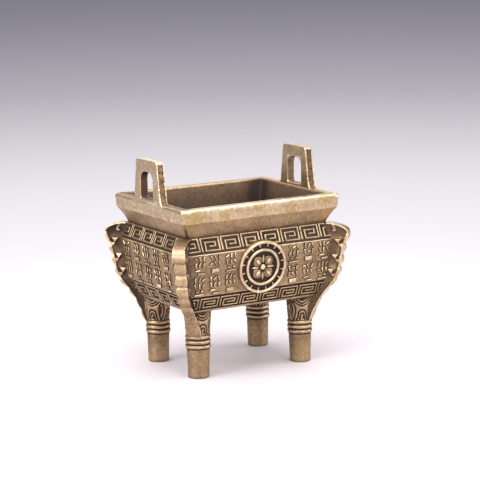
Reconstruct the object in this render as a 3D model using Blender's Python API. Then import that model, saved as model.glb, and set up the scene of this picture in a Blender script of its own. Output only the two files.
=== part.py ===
"""A miniature censer: a rectangular cauldron on four round legs, cast in one piece of brass.

Metres, +Z up. The origin is on the ground under the middle of the censer, +X runs along its
long side, and the long side at -Y carries the finished roundel.
"""

import math

import bmesh
import bpy
from mathutils import Vector

for old in list(bpy.data.objects):
    bpy.data.objects.remove(old, do_unlink=True)

MM = 0.001

# Heights, stacked from the ground to the top of the ears
LEG_HEIGHT = 9.6 * MM
LOWER_BAND_RISE = 2.42 * MM
PANEL_RISE = 5.93 * MM
UPPER_BAND_RISE = 2.15 * MM
FLARE_RISE = 2.23 * MM
RIM_RISE = 1.93 * MM
EAR_RISE = 5.74 * MM

# The body is wider one way than the other by the same amount at every height
NECK_HALF_DEPTH = 8.73 * MM
LENGTH_OVER_DEPTH = 2.48 * MM

# How far each stretch of wall leans out or in on its way up
RIM_LEAN = 0.13 * MM
FLARE_LEAN = 1.25 * MM
UPPER_BAND_LEAN = 0.97 * MM
PANEL_LEAN = 0.7 * MM
LOWER_BAND_LEAN = 1.15 * MM
FLARE_HOLLOW = 0.12 * MM
RIM_ROUNDING = 0.3 * MM

# The hollow: its lip, its walls and its floor
LIP_WIDTH = 1.5 * MM
NECK_WALL = 1.25 * MM
BODY_WALL = 1.75 * MM
FLOOR_THICKNESS = 1.7 * MM
HOLLOW_CORNER_RADIUS = 1.3 * MM
FLOOR_FILLET = 0.5 * MM

# Legs
LEG_FOOT_RADIUS = 1.48 * MM
LEG_COLUMN_RADIUS = 1.6 * MM
LEG_RING_RADIUS = 1.77 * MM
LEG_TOP_RADIUS = 1.97 * MM
LEG_INSET = 0.05 * MM
LEG_GROOVE_DEPTH = 0.2 * MM
LEG_RING_START = 4.14 * MM
LEG_RING_PITCH = 0.67 * MM
LEG_RING_COUNT = 3
LEG_GROOVE_WIDTH = 0.2 * MM
LEG_SIDES = 14

# Ears
EAR_THICKNESS = 1.2 * MM
EAR_HALF_WIDTH_AT_RIM = 3.82 * MM
EAR_HALF_WIDTH_AT_TOP = 2.95 * MM
EAR_CORNER_RADIUS = 0.45 * MM
EAR_TOP_BAR = 1.6 * MM
EAR_HOLE_HALF_WIDTH = 1.8 * MM
EAR_HOLE_SILL = 0.35 * MM
EAR_HOLE_CORNER_RADIUS = 1.2 * MM

# Corner flanges
FLANGE_PLATE_THICKNESS = 1.2 * MM
FLANGE_EDGE_THICKNESS = 1.7 * MM
FLANGE_EDGE_WIDTH = 0.45 * MM
FLANGE_NOSE_REACH = 1.68 * MM
FLANGE_SHOULDER_REACH = 0.9 * MM
FLANGE_PANEL_REACH = 0.82 * MM
FLANGE_FOOT_REACH = 0.38 * MM
FLANGE_ROOT = 0.8 * MM
CREST_STEPS = 4
SCALLOP_PITCH = 1.6 * MM
SCALLOP_DEPTH = 0.14 * MM
SCALLOP_STEPS = 3
CUSP_LENGTH = 0.4 * MM

# Relief on the walls
PANEL_PROUD = 0.17 * MM
FOOT_STRIP_WIDTH = 0.36 * MM
FOOT_STRIP_PROUD = 0.14 * MM
FRET_PITCH = 3.18 * MM
FRET_LINE = 0.27 * MM
FRET_RELIEF = 0.2 * MM
FRET_TOP_MARGIN = 0.06 * MM
FRET_SIDE_MARGIN = 0.32 * MM
SHOWN_SIDES = ("front", "left")
STROKE_LINE = 0.26 * MM
STROKE_RELIEF = 0.14 * MM
STROKE_COLUMN_PITCH_LONG = 2.45 * MM
STROKE_COLUMN_PITCH_SHORT = 2.85 * MM
STROKE_COLUMNS_BESIDE_ROUNDEL = 3
STROKE_COLUMNS_ON_SHORT_SIDE = 6
STROKE_ROWS = 2
STROKE_BLOCK_WIDTH = 1.7 * MM
STROKE_ROW_MARGIN = 0.18 * MM
STROKES_ON_SHOWN_SIDES = 3
STROKES_ON_PLAINER_SIDES = 2

# Roundel
ROUNDEL_RADIUS = 3.65 * MM
ROUNDEL_RING_WIDTH = 0.42 * MM
ROUNDEL_INNER_RADIUS = 2.68 * MM
ROUNDEL_PROUD = 0.36 * MM
ROUNDEL_GROUND = 0.12 * MM
ROUNDEL_ROOT = 1.2 * MM
ROUNDEL_SIDES = 24
ROUNDEL_TICKS = 16
ROUNDEL_TICK_SIZE = 0.26 * MM
ROSETTE_PETALS = 4
ROSETTE_REACH = 1.85 * MM
ROSETTE_PETAL_WIDTH = 1.05 * MM
ROSETTE_BOSS_RADIUS = 0.42 * MM
ROSETTE_BELOW_RING = 0.06 * MM

# What is joined on is rooted this far in the wall behind it, and faces never lie in one plane
ROOT = 0.25 * MM
APART = 0.01 * MM

UNDERSIDE = LEG_HEIGHT
PANEL_FOOT = UNDERSIDE + LOWER_BAND_RISE
PANEL_HEAD = PANEL_FOOT + PANEL_RISE
NECK = PANEL_HEAD + UPPER_BAND_RISE
RIM_FOOT = NECK + FLARE_RISE
RIM_TOP = RIM_FOOT + RIM_RISE
EAR_TOP = RIM_TOP + EAR_RISE

PANEL_HEAD_DEPTH = NECK_HALF_DEPTH + UPPER_BAND_LEAN
PANEL_FOOT_DEPTH = PANEL_HEAD_DEPTH - PANEL_LEAN
UNDERSIDE_DEPTH = PANEL_FOOT_DEPTH - LOWER_BAND_LEAN
RIM_FOOT_DEPTH = NECK_HALF_DEPTH + FLARE_LEAN
RIM_TOP_DEPTH = RIM_FOOT_DEPTH + RIM_LEAN

# The legs stand in the underside's corners
LEG_Y = UNDERSIDE_DEPTH - LEG_TOP_RADIUS - LEG_INSET
LEG_X = LEG_Y + LENGTH_OVER_DEPTH
UP = Vector((0, 0, 1))


def brass():
    """Satin antique brass."""
    material = bpy.data.materials.new("antique_brass")
    material.use_nodes = True
    shader = material.node_tree.nodes["Principled BSDF"]
    shader.inputs["Base Color"].default_value = (0.47, 0.34, 0.19, 1)
    shader.inputs["Roughness"].default_value = 0.42
    shader.inputs["Metallic"].default_value = 1.0
    return material


def add_object(name, mesh_builder, guide=True):
    """Turn a bmesh into an object. A guide only shapes the censer and isn't part of it."""
    bmesh.ops.recalc_face_normals(mesh_builder, faces=mesh_builder.faces)
    mesh = bpy.data.meshes.new(name)
    mesh_builder.to_mesh(mesh)
    mesh_builder.free()
    made = bpy.data.objects.new(name, mesh)
    bpy.context.collection.objects.link(made)
    if guide:
        made.hide_render = True
        made.display_type = "WIRE"
    return made


def combine(target, guide, operation):
    """Join a guide's shape to the target, or cut it out, with an exact Boolean."""
    step = target.modifiers.new(f"{operation.lower()} {guide.name}", "BOOLEAN")
    step.operation = operation
    step.solver = "EXACT"
    step.object = guide


def prism(builder, outline, travel):
    """A closed prism: an outline of points swept along a vector."""
    cap = builder.faces.new([builder.verts.new(point) for point in outline])
    swept = bmesh.ops.extrude_face_region(builder, geom=[cap], use_keep_orig=True)
    moved = [item for item in swept["geom"] if isinstance(item, bmesh.types.BMVert)]
    bmesh.ops.translate(builder, verts=moved, vec=travel)


def stack(builder, sections):
    """A closed solid through a stack of outlines with the same number of points each."""
    rings = [[builder.verts.new(point) for point in section] for section in sections]
    count = len(rings[0])
    for lower, upper in zip(rings, rings[1:]):
        for i in range(count):
            j = (i + 1) % count
            builder.faces.new((lower[i], lower[j], upper[j], upper[i]))
    builder.faces.new(rings[0])
    builder.faces.new(rings[-1])


def rectangle(half_x, half_y, z):
    return [Vector((x * half_x, y * half_y, z)) for x, y in ((-1, -1), (1, -1), (1, 1), (-1, 1))]


def rounded_rectangle(half_x, half_y, z, radius, steps=3):
    points = []
    for corner, (sx, sy) in enumerate(((1, 1), (-1, 1), (-1, -1), (1, -1))):
        for step in range(steps + 1):
            angle = math.radians(90 * (corner + step / steps))
            points.append(Vector((
                sx * (half_x - radius) + radius * math.cos(angle),
                sy * (half_y - radius) + radius * math.sin(angle),
                z,
            )))
    return points


def arc(centre, radius, start, end, steps):
    """Points on an arc in a plane, its angles in degrees."""
    angles = [math.radians(start + (end - start) * i / steps) for i in range(steps + 1)]
    return [(centre[0] + radius * math.cos(a), centre[1] + radius * math.sin(a)) for a in angles]


def ribbon(path, width):
    """The outline of a line of the given width drawn along a path, with mitred corners."""
    points = [Vector(point) for point in path]
    left, right = [], []
    for i, point in enumerate(points):
        before = (point - points[i - 1]).normalized() if i else None
        after = (points[i + 1] - point).normalized() if i + 1 < len(points) else None
        first, second = before or after, after or before
        normal_1 = Vector((-first.y, first.x))
        normal_2 = Vector((-second.y, second.x))
        shift = (normal_1 + normal_2) * (width / 2 / (1 + normal_1.dot(normal_2)))
        left.append(point + shift)
        right.append(point - shift)
    return left + right[::-1]


def wall_half_depth(z):
    """Half the body's depth across Y at a height, without the panel's small ledge."""
    levels = (
        (UNDERSIDE, UNDERSIDE_DEPTH),
        (PANEL_FOOT, PANEL_FOOT_DEPTH),
        (PANEL_HEAD, PANEL_HEAD_DEPTH),
        (NECK, NECK_HALF_DEPTH),
        (RIM_FOOT, RIM_FOOT_DEPTH),
        (RIM_TOP, RIM_TOP_DEPTH),
    )
    for (z0, d0), (z1, d1) in zip(levels, levels[1:]):
        if z <= z1:
            return d0 + (d1 - d0) * (z - z0) / (z1 - z0)
    return levels[-1][1]


class Wall:
    """One sloping stretch of one side, with its own flat coordinates along, up and out."""

    def __init__(self, side, z_low, depth_low, z_high, depth_high):
        self.side = side
        self.long_side = side in ("front", "back")
        outward = {
            "front": Vector((0, -1, 0)),
            "right": Vector((1, 0, 0)),
            "back": Vector((0, 1, 0)),
            "left": Vector((-1, 0, 0)),
        }[side]
        extra = 0 if self.long_side else LENGTH_OVER_DEPTH
        self.origin = outward * (depth_low + extra) + UP * z_low
        rise = outward * (depth_high - depth_low) + UP * (z_high - z_low)
        self.height = rise.length
        self.along = UP.cross(outward)
        self.up = rise.normalized()
        self.out = self.along.cross(self.up)
        self.half_low = depth_low + (LENGTH_OVER_DEPTH if self.long_side else 0)
        self.half_high = self.half_low + depth_high - depth_low

    def half_width(self, y):
        """Half the wall's free width between the flanges, at a distance up the slope."""
        half = self.half_low + (self.half_high - self.half_low) * y / self.height
        return half - FLANGE_PLATE_THICKNESS / math.sqrt(2)

    def point(self, x, y, depth=0.0):
        return self.origin + self.along * x + self.up * y + self.out * depth

    def raise_outline(self, builder, outline, relief, root=ROOT):
        """A flat raised shape on the wall, rooted below its surface."""
        prism(builder, [self.point(x, y, -root) for x, y in outline], self.out * (relief + root))


def side_walls(z_low, depth_low, z_high, depth_high):
    return [Wall(side, z_low, depth_low, z_high, depth_high) for side in ("front", "right", "back", "left")]


def build_body():
    """The bowl's outside: foot strip, lower band, panel, upper band, hollow flare and rim."""
    strip_top = UNDERSIDE + FOOT_STRIP_WIDTH
    flare_middle = (NECK + RIM_FOOT) / 2
    levels = (
        (UNDERSIDE, UNDERSIDE_DEPTH + FOOT_STRIP_PROUD),
        (strip_top, wall_half_depth(strip_top) + FOOT_STRIP_PROUD),
        (strip_top + APART, wall_half_depth(strip_top)),
        (PANEL_FOOT, PANEL_FOOT_DEPTH),
        (PANEL_FOOT + APART, PANEL_FOOT_DEPTH + PANEL_PROUD),
        (PANEL_HEAD - APART, PANEL_HEAD_DEPTH + PANEL_PROUD),
        (PANEL_HEAD, PANEL_HEAD_DEPTH),
        (NECK, NECK_HALF_DEPTH),
        (flare_middle, wall_half_depth(flare_middle) - FLARE_HOLLOW),
        (RIM_FOOT, RIM_FOOT_DEPTH),
        (RIM_TOP - RIM_ROUNDING, RIM_TOP_DEPTH),
        (RIM_TOP - RIM_ROUNDING * 0.3, RIM_TOP_DEPTH - RIM_ROUNDING * 0.3),
        (RIM_TOP, RIM_TOP_DEPTH - RIM_ROUNDING),
    )
    builder = bmesh.new()
    stack(builder, [rectangle(depth + LENGTH_OVER_DEPTH, depth, z) for z, depth in levels])
    return add_object("censer", builder, guide=False)


def build_hollow():
    """The bowl's inside, open at the top."""
    floor = UNDERSIDE + FLOOR_THICKNESS
    lip_depth = RIM_TOP_DEPTH - LIP_WIDTH
    neck_depth = NECK_HALF_DEPTH - NECK_WALL
    floor_depth = wall_half_depth(floor + FLOOR_FILLET) - BODY_WALL
    above = (lip_depth - neck_depth) / (RIM_TOP - NECK) * RIM_RISE
    levels = (
        (floor, floor_depth - FLOOR_FILLET),
        (floor + FLOOR_FILLET, floor_depth),
        (NECK, neck_depth),
        (RIM_TOP, lip_depth),
        (RIM_TOP + RIM_RISE, lip_depth + above),
    )
    builder = bmesh.new()
    stack(builder, [
        rounded_rectangle(depth + LENGTH_OVER_DEPTH, depth, z, HOLLOW_CORNER_RADIUS) for z, depth in levels
    ])
    return add_object("hollow", builder)


def build_legs():
    """Four turned legs: a plain column, three rings and a stouter upper part."""
    profile = [(0, LEG_FOOT_RADIUS), (LEG_RING_START - LEG_GROOVE_WIDTH / 2, LEG_COLUMN_RADIUS)]
    groove_radius = LEG_RING_RADIUS - LEG_GROOVE_DEPTH
    for ring in range(LEG_RING_COUNT):
        groove = LEG_RING_START + ring * LEG_RING_PITCH
        profile.append((groove, groove_radius))
        profile.append((groove + LEG_GROOVE_WIDTH / 2, LEG_RING_RADIUS))
        profile.append((groove + LEG_RING_PITCH - LEG_GROOVE_WIDTH / 2, LEG_RING_RADIUS))
    ground = LEG_RING_START + LEG_RING_COUNT * LEG_RING_PITCH
    profile.append((ground, groove_radius))
    profile.append((UNDERSIDE + ROOT, LEG_TOP_RADIUS - LEG_GROOVE_DEPTH / 2))
    builder = bmesh.new()
    for sx in (-1, 1):
        for sy in (-1, 1):
            sections = []
            for z, radius in profile:
                ring = arc((sx * LEG_X, sy * LEG_Y), radius, 0, 360 * (1 - 1 / LEG_SIDES), LEG_SIDES - 1)
                sections.append([Vector((x, y, z)) for x, y in ring])
            stack(builder, sections)
    return add_object("legs", builder)


def build_ears():
    """Two upright ears on the short sides, each with an arched hole through it."""
    foot = RIM_TOP - RIM_RISE / 2
    lean = (EAR_HALF_WIDTH_AT_RIM - EAR_HALF_WIDTH_AT_TOP) / EAR_RISE
    foot_half = EAR_HALF_WIDTH_AT_RIM + lean * (RIM_TOP - foot)
    top = EAR_TOP - EAR_CORNER_RADIUS
    corner_y = EAR_HALF_WIDTH_AT_TOP - EAR_CORNER_RADIUS * (1 - lean)
    half = [(foot_half, foot)] + arc((corner_y, top), EAR_CORNER_RADIUS, 0, 90, 3)
    outline = half + [(-y, z) for y, z in reversed(half)]
    sill = RIM_TOP + EAR_HOLE_SILL
    hole_top = EAR_TOP - EAR_TOP_BAR
    radius = min(EAR_HOLE_CORNER_RADIUS, EAR_HOLE_HALF_WIDTH * 0.9, (hole_top - sill) * 0.5)
    hole_half = [(EAR_HOLE_HALF_WIDTH, sill)]
    hole_half += arc((EAR_HOLE_HALF_WIDTH - radius, hole_top - radius), radius, 0, 90, 4)
    hole = hole_half + [(-y, z) for y, z in reversed(hole_half)]
    outer_face = RIM_TOP_DEPTH + LENGTH_OVER_DEPTH - APART
    ears, holes = bmesh.new(), bmesh.new()
    for side in (-1, 1):
        x = side * outer_face
        inward = Vector((-side * EAR_THICKNESS, 0, 0))
        prism(ears, [Vector((x, y, z)) for y, z in outline], inward)
        prism(holes, [Vector((x, y, z)) - inward for y, z in hole], inward * 3)
    return add_object("ears", ears), add_object("ear_holes", holes)


def leg_face(z):
    """How far out the leg reaches on the flange's plane, measured like the half depth."""
    share = (z - LEG_RING_START) / (UNDERSIDE - LEG_RING_START)
    radius = LEG_RING_RADIUS + (LEG_TOP_RADIUS - LEG_RING_RADIUS) * share
    return LEG_Y + radius / math.sqrt(2)


def flange_crest(inset=0.0):
    """The flange's rounded top, from the neck out to the nose, as (half depth, z)."""
    nose_z = PANEL_HEAD + UPPER_BAND_RISE * 0.4
    reach = wall_half_depth(nose_z) + FLANGE_NOSE_REACH - NECK_HALF_DEPTH
    quarter = [math.pi / 2 * i / CREST_STEPS for i in range(CREST_STEPS + 1)]
    return [
        (NECK_HALF_DEPTH + (reach - inset) * math.sin(a), nose_z + (NECK - nose_z - inset) * math.cos(a))
        for a in quarter
    ]


def flange_course():
    """The line that the scallops follow, from the nose down to the leg's top ring."""
    shoulder = PANEL_HEAD - PANEL_RISE * 0.2
    waist = PANEL_HEAD - PANEL_RISE * 0.75
    ring_top = LEG_RING_START + LEG_RING_COUNT * LEG_RING_PITCH - LEG_GROOVE_WIDTH / 2
    knee = (UNDERSIDE + ring_top) / 2
    return [
        flange_crest()[-1],
        (wall_half_depth(shoulder) + FLANGE_SHOULDER_REACH, shoulder),
        (wall_half_depth(waist) + FLANGE_PANEL_REACH, waist),
        (PANEL_FOOT_DEPTH + FLANGE_PANEL_REACH * 0.7, PANEL_FOOT),
        (UNDERSIDE_DEPTH + FLANGE_FOOT_REACH, UNDERSIDE),
        (leg_face(knee) + FLANGE_FOOT_REACH, knee),
        (leg_face(ring_top) - LEG_GROOVE_DEPTH / 2, ring_top),
    ]


def scallop(course):
    """Follow straight runs and swell outward between evenly spaced notches."""
    runs = [Vector(b) - Vector(a) for a, b in zip(course, course[1:])]
    total = sum(run.length for run in runs)
    count = round(total / SCALLOP_PITCH)
    points = []
    for i in range(count * SCALLOP_STEPS + 1):
        left = total * i / (count * SCALLOP_STEPS)
        for start, run in zip(course, runs):
            if left <= run.length or run is runs[-1]:
                break
            left -= run.length
        place = Vector(start) + run.normalized() * left
        outward = Vector((-run.y, run.x)).normalized()
        if i < count * SCALLOP_STEPS:
            place += outward * SCALLOP_DEPTH * abs(math.sin(math.pi * i / SCALLOP_STEPS))
        points.append((place.x, place.y))
    return points


def build_flanges():
    """Four scalloped flanges on the corners, and the thicker rim along their edges."""
    course = flange_course()
    scallops = scallop(course)
    outer = flange_crest() + scallops[1:]
    inner = flange_crest(FLANGE_EDGE_WIDTH)
    for i, (depth, z) in enumerate(scallops[:-1]):
        place = i % SCALLOP_STEPS
        if i and place in (0, SCALLOP_STEPS // 2) and z > PANEL_FOOT:
            cusp = 0 if place else CUSP_LENGTH
            inner.append((depth - FLANGE_EDGE_WIDTH - cusp, z))
    # Beside the lower band the edge is rooted in the wall, so no slit is left between them
    for depth, z in course[-4:]:
        free = depth - FLANGE_EDGE_WIDTH
        inner.append((min(free, wall_half_depth(z) - ROOT) if z >= UNDERSIDE else free, z))
    tuck = FLANGE_EDGE_WIDTH / 2
    plate = flange_crest(tuck) + [(depth - tuck, z) for depth, z in course[1:]]
    plate += [(LEG_Y, course[-1][1]), (LEG_Y, UNDERSIDE + ROOT)]
    plate += [(wall_half_depth(z) - FLANGE_ROOT, z) for z in (PANEL_FOOT, PANEL_HEAD, NECK - tuck)]
    plates, edges = bmesh.new(), bmesh.new()
    for sx in (-1, 1):
        for sy in (-1, 1):
            across = Vector((sx, -sy, 0)).normalized()
            for builder, outline, thickness in (
                (plates, plate, FLANGE_PLATE_THICKNESS),
                (edges, outer + inner[::-1], FLANGE_EDGE_THICKNESS),
            ):
                points = [Vector((sx * (d + LENGTH_OVER_DEPTH), sy * d, z)) for d, z in outline]
                prism(builder, [p - across * thickness / 2 for p in points], across * thickness)
    return add_object("flange_plates", plates), add_object("flange_edges", edges)


def fret_path(height):
    """The squared spiral that the fret repeats, as the middle of its line."""
    left = FRET_LINE / 2
    right = FRET_PITCH - FRET_LINE * 1.5
    low, high = FRET_LINE / 2, height - FRET_LINE / 2
    step = (high - low) / 3
    return [
        (left, 0), (left, high), (right, high), (right, low), (left + step, low), (left + step, high - step),
        (right - step, high - step), (right - step, low + step), (left + 2 * step, low + step),
    ]


def clip_past(builder, wall):
    """Cut a wall's relief off where the flanges start, and close the cut."""
    for side in (-1, 1):
        foot = wall.point(side * wall.half_width(0), 0)
        head = wall.point(side * wall.half_width(wall.height), wall.height)
        normal = (head - foot).cross(wall.out).normalized()
        if normal.dot(wall.along) * side < 0:
            normal.negate()
        geometry = builder.verts[:] + builder.edges[:] + builder.faces[:]
        co = foot + wall.along * side * ROOT
        cut = bmesh.ops.bisect_plane(
            builder, geom=geometry, dist=APART * 0.01, plane_co=co, plane_no=normal, clear_outer=True,
        )
        edges = [item for item in cut["geom_cut"] if isinstance(item, bmesh.types.BMEdge)]
        bmesh.ops.holes_fill(builder, edges=edges)


def build_frets():
    """Both bands of squared spirals on every side, centred on a seam and cut at the flanges."""
    bands = (
        (UNDERSIDE, UNDERSIDE_DEPTH, PANEL_FOOT, PANEL_FOOT_DEPTH, FOOT_STRIP_WIDTH + FRET_SIDE_MARGIN,
         FRET_SIDE_MARGIN),
        (PANEL_HEAD, PANEL_HEAD_DEPTH, NECK, NECK_HALF_DEPTH, FRET_SIDE_MARGIN, FRET_TOP_MARGIN),
    )
    frets = bmesh.new()
    for z_low, depth_low, z_high, depth_high, margin_low, margin_high in bands:
        for wall in side_walls(z_low, depth_low, z_high, depth_high):
            height = wall.height - margin_low - margin_high
            path = fret_path(height)
            reach = wall.half_width(wall.height / 2) + ROOT
            count = math.ceil(reach / FRET_PITCH)
            band = bmesh.new()
            for unit in range(-count, count):
                start = unit * FRET_PITCH + FRET_LINE / 2
                line = [(start + x, margin_low + y) for x, y in path]
                wall.raise_outline(band, ribbon(line, FRET_LINE), FRET_RELIEF)
            clip_past(band, wall)
            part = bpy.data.meshes.new("band")
            band.to_mesh(part)
            band.free()
            frets.from_mesh(part)
            bpy.data.meshes.remove(part)
    return add_object("frets", frets)


def stroke_block(variant, width, height):
    """A dash with leaning strokes above it, as the middles of their lines. They spell nothing."""
    half = width / 2
    lean = width * (0.12 if variant % 2 else -0.1)
    foot = height * 0.42
    dash_half = half * (0.75 if variant % 3 else 0.95)
    return [
        [(-dash_half, height * 0.2), (dash_half, height * 0.2)],
        [(half * 0.55, foot), (half * 0.55 - lean, height * (0.9 if variant % 2 else 1))],
        [(-half * 0.55, foot), (-half * 0.55 - lean * 0.4, height)],
    ]


def build_strokes():
    """Rows of short raised strokes on the panels."""
    strokes = bmesh.new()
    panels = side_walls(PANEL_FOOT, PANEL_FOOT_DEPTH + PANEL_PROUD, PANEL_HEAD, PANEL_HEAD_DEPTH + PANEL_PROUD)
    for number, wall in enumerate(panels):
        if wall.long_side:
            first = ROUNDEL_RADIUS + STROKE_BLOCK_WIDTH * 0.8
            right = [first + i * STROKE_COLUMN_PITCH_LONG for i in range(STROKE_COLUMNS_BESIDE_ROUNDEL)]
            columns = [-x for x in right] + right
        else:
            middle = (STROKE_COLUMNS_ON_SHORT_SIDE - 1) / 2
            columns = [(i - middle) * STROKE_COLUMN_PITCH_SHORT for i in range(STROKE_COLUMNS_ON_SHORT_SIDE)]
        count = STROKES_ON_SHOWN_SIDES if wall.side in SHOWN_SIDES else STROKES_ON_PLAINER_SIDES
        row_height = wall.height / STROKE_ROWS
        for row in range(STROKE_ROWS):
            low = row * row_height + STROKE_ROW_MARGIN
            limit = wall.half_width(low) - STROKE_BLOCK_WIDTH / 2
            for place, column in enumerate(columns):
                x = max(-limit, min(limit, column))
                variant = number + place + row * 2
                lines = stroke_block(variant, STROKE_BLOCK_WIDTH, row_height - 2 * STROKE_ROW_MARGIN)
                for line in lines[:count]:
                    placed = [(x + dx, low + dy) for dx, dy in line]
                    wall.raise_outline(strokes, ribbon(placed, STROKE_LINE), STROKE_RELIEF)
    return add_object("strokes", strokes)


def roundel_frame(side):
    """The panel's plane on a long side, and the height of the roundel's middle up its slope."""
    wall = Wall(side, PANEL_FOOT, PANEL_FOOT_DEPTH + PANEL_PROUD, PANEL_HEAD, PANEL_HEAD_DEPTH + PANEL_PROUD)
    return wall, wall.height / 2


def build_roundels():
    """A ringed disc in the middle of each long side. It covers the fret bands' edges."""
    discs = bmesh.new()
    channel = ROUNDEL_RADIUS - ROUNDEL_RING_WIDTH
    inner = ROUNDEL_INNER_RADIUS - ROUNDEL_RING_WIDTH
    profile = (
        (ROUNDEL_RADIUS, -ROUNDEL_ROOT),
        (ROUNDEL_RADIUS, ROUNDEL_PROUD),
        (channel, ROUNDEL_PROUD),
        (channel, ROUNDEL_GROUND),
        (ROUNDEL_INNER_RADIUS, ROUNDEL_GROUND),
        (ROUNDEL_INNER_RADIUS, ROUNDEL_PROUD),
        (inner, ROUNDEL_PROUD),
        (inner, ROUNDEL_GROUND),
    )
    for side in ("front", "back"):
        wall, middle = roundel_frame(side)
        sections = []
        for radius, depth in profile:
            ring = arc((0, middle), radius, 0, 360 * (1 - 1 / ROUNDEL_SIDES), ROUNDEL_SIDES - 1)
            sections.append([wall.point(x, y, depth) for x, y in ring])
        stack(discs, sections)
    return add_object("roundels", discs)


def petal(angle, steps=4):
    """A pointed petal that starts near the middle and widens half way out."""
    start = ROSETTE_BOSS_RADIUS * 1.4
    length = ROSETTE_REACH - start
    side = []
    for i in range(1, steps):
        share = i / steps
        side.append((start + length * share, ROSETTE_PETAL_WIDTH / 2 * math.sin(math.pi * share) ** 0.8))
    flat = [(start, 0)] + side + [(ROSETTE_REACH, 0)] + [(x, -y) for x, y in reversed(side)]
    cos, sin = math.cos(angle), math.sin(angle)
    return [(x * cos - y * sin, x * sin + y * cos) for x, y in flat]


def build_motifs():
    """The rosette on each roundel, and the small studs around the front one."""
    motifs = bmesh.new()
    for side in ("front", "back"):
        wall, middle = roundel_frame(side)
        outlines = [arc((0, 0), ROSETTE_BOSS_RADIUS, 0, 315, 7)]
        outlines += [petal(math.tau * (i + 0.5) / ROSETTE_PETALS) for i in range(ROSETTE_PETALS)]
        if side == "front":
            reach = (ROUNDEL_RADIUS - ROUNDEL_RING_WIDTH + ROUNDEL_INNER_RADIUS) / 2
            for i in range(ROUNDEL_TICKS):
                x, y = arc((0, 0), reach, 360 * i / ROUNDEL_TICKS, 0, 1)[0]
                outlines.append(arc((x, y), ROUNDEL_TICK_SIZE / 2, 45, 315, 3))
        for outline in outlines:
            lifted = [(x, y + middle) for x, y in outline]
            wall.raise_outline(motifs, lifted, ROUNDEL_PROUD - ROSETTE_BELOW_RING, ROOT - ROUNDEL_GROUND)
    return add_object("motifs", motifs)


censer = build_body()
censer.data.materials.append(brass())
combine(censer, build_legs(), "UNION")
flange_plates, flange_edges = build_flanges()
combine(censer, flange_plates, "UNION")
combine(censer, flange_edges, "UNION")
combine(censer, build_hollow(), "DIFFERENCE")
ears, ear_holes = build_ears()
combine(censer, ears, "UNION")
combine(censer, ear_holes, "DIFFERENCE")
combine(censer, build_frets(), "UNION")
combine(censer, build_strokes(), "UNION")
combine(censer, build_roundels(), "UNION")
combine(censer, build_motifs(), "UNION")
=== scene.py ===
"""A miniature brass censer: a rectangular bowl with fret bands on four legs, cast in one piece.

Modelled in millimetres and set into the frame in metres, +Z up, +X along the long side.
"""

import math
import random

import bmesh
import bpy
from mathutils import Matrix, Vector, noise


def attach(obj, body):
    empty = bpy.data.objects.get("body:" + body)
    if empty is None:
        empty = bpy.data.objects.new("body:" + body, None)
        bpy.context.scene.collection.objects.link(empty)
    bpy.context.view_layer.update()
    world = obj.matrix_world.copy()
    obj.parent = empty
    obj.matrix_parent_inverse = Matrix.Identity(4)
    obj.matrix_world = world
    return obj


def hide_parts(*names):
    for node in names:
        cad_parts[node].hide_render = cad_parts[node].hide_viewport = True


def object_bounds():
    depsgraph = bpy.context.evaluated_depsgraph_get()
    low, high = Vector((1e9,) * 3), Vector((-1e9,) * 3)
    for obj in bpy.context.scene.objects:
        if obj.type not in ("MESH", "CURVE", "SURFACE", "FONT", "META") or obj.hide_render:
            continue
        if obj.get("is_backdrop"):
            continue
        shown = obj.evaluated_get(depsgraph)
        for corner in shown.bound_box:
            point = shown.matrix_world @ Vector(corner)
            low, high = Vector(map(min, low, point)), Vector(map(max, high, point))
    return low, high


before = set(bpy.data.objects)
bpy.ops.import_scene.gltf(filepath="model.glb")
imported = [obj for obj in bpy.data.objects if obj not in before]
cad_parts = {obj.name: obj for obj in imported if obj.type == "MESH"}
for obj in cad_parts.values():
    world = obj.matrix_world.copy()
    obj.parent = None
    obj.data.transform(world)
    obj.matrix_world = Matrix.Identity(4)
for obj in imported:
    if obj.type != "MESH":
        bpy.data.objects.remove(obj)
cad_low, cad_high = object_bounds()
MM = 0.001


# The camera stands low, in front of the left front corner, at the photograph's viewing angle,
# and its small shift puts the censer left of the middle as in the photograph.
VIEW_AZIMUTH = math.radians(-30.0)
VIEW_ELEVATION = math.radians(10.551)
VIEW_ROLL = math.radians(-1.219)
VIEW_DISTANCE = 281.9
VIEW_HEIGHT = 17.466
FOCAL_LENGTH_PX = 1991
CENTRE_LEFT_PX = 13.17
PICTURE_WIDTH_PX = 480
SENSOR_WIDTH = 36

back = Vector((
    math.sin(VIEW_AZIMUTH) * math.cos(VIEW_ELEVATION),
    -math.cos(VIEW_AZIMUTH) * math.cos(VIEW_ELEVATION),
    math.sin(VIEW_ELEVATION),
))
level_right = Vector((math.cos(VIEW_AZIMUTH), math.sin(VIEW_AZIMUTH), 0))
level_up = back.cross(level_right)
right = level_right * math.cos(VIEW_ROLL) + level_up * math.sin(VIEW_ROLL)
up = level_up * math.cos(VIEW_ROLL) - level_right * math.sin(VIEW_ROLL)
camera_data = bpy.data.cameras.new("camera")
camera_data.sensor_width = SENSOR_WIDTH
camera_data.lens = FOCAL_LENGTH_PX * SENSOR_WIDTH / PICTURE_WIDTH_PX
camera_data.shift_x = CENTRE_LEFT_PX / PICTURE_WIDTH_PX
camera_data.clip_start = MM
camera = bpy.data.objects.new("camera", camera_data)
bpy.context.collection.objects.link(camera)
turn = Matrix((right, up, back)).transposed().to_4x4()
camera.matrix_world = Matrix.Translation((Vector((0, 0, VIEW_HEIGHT)) + back * VIEW_DISTANCE) * MM) @ turn
bpy.context.scene.camera = camera


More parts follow.
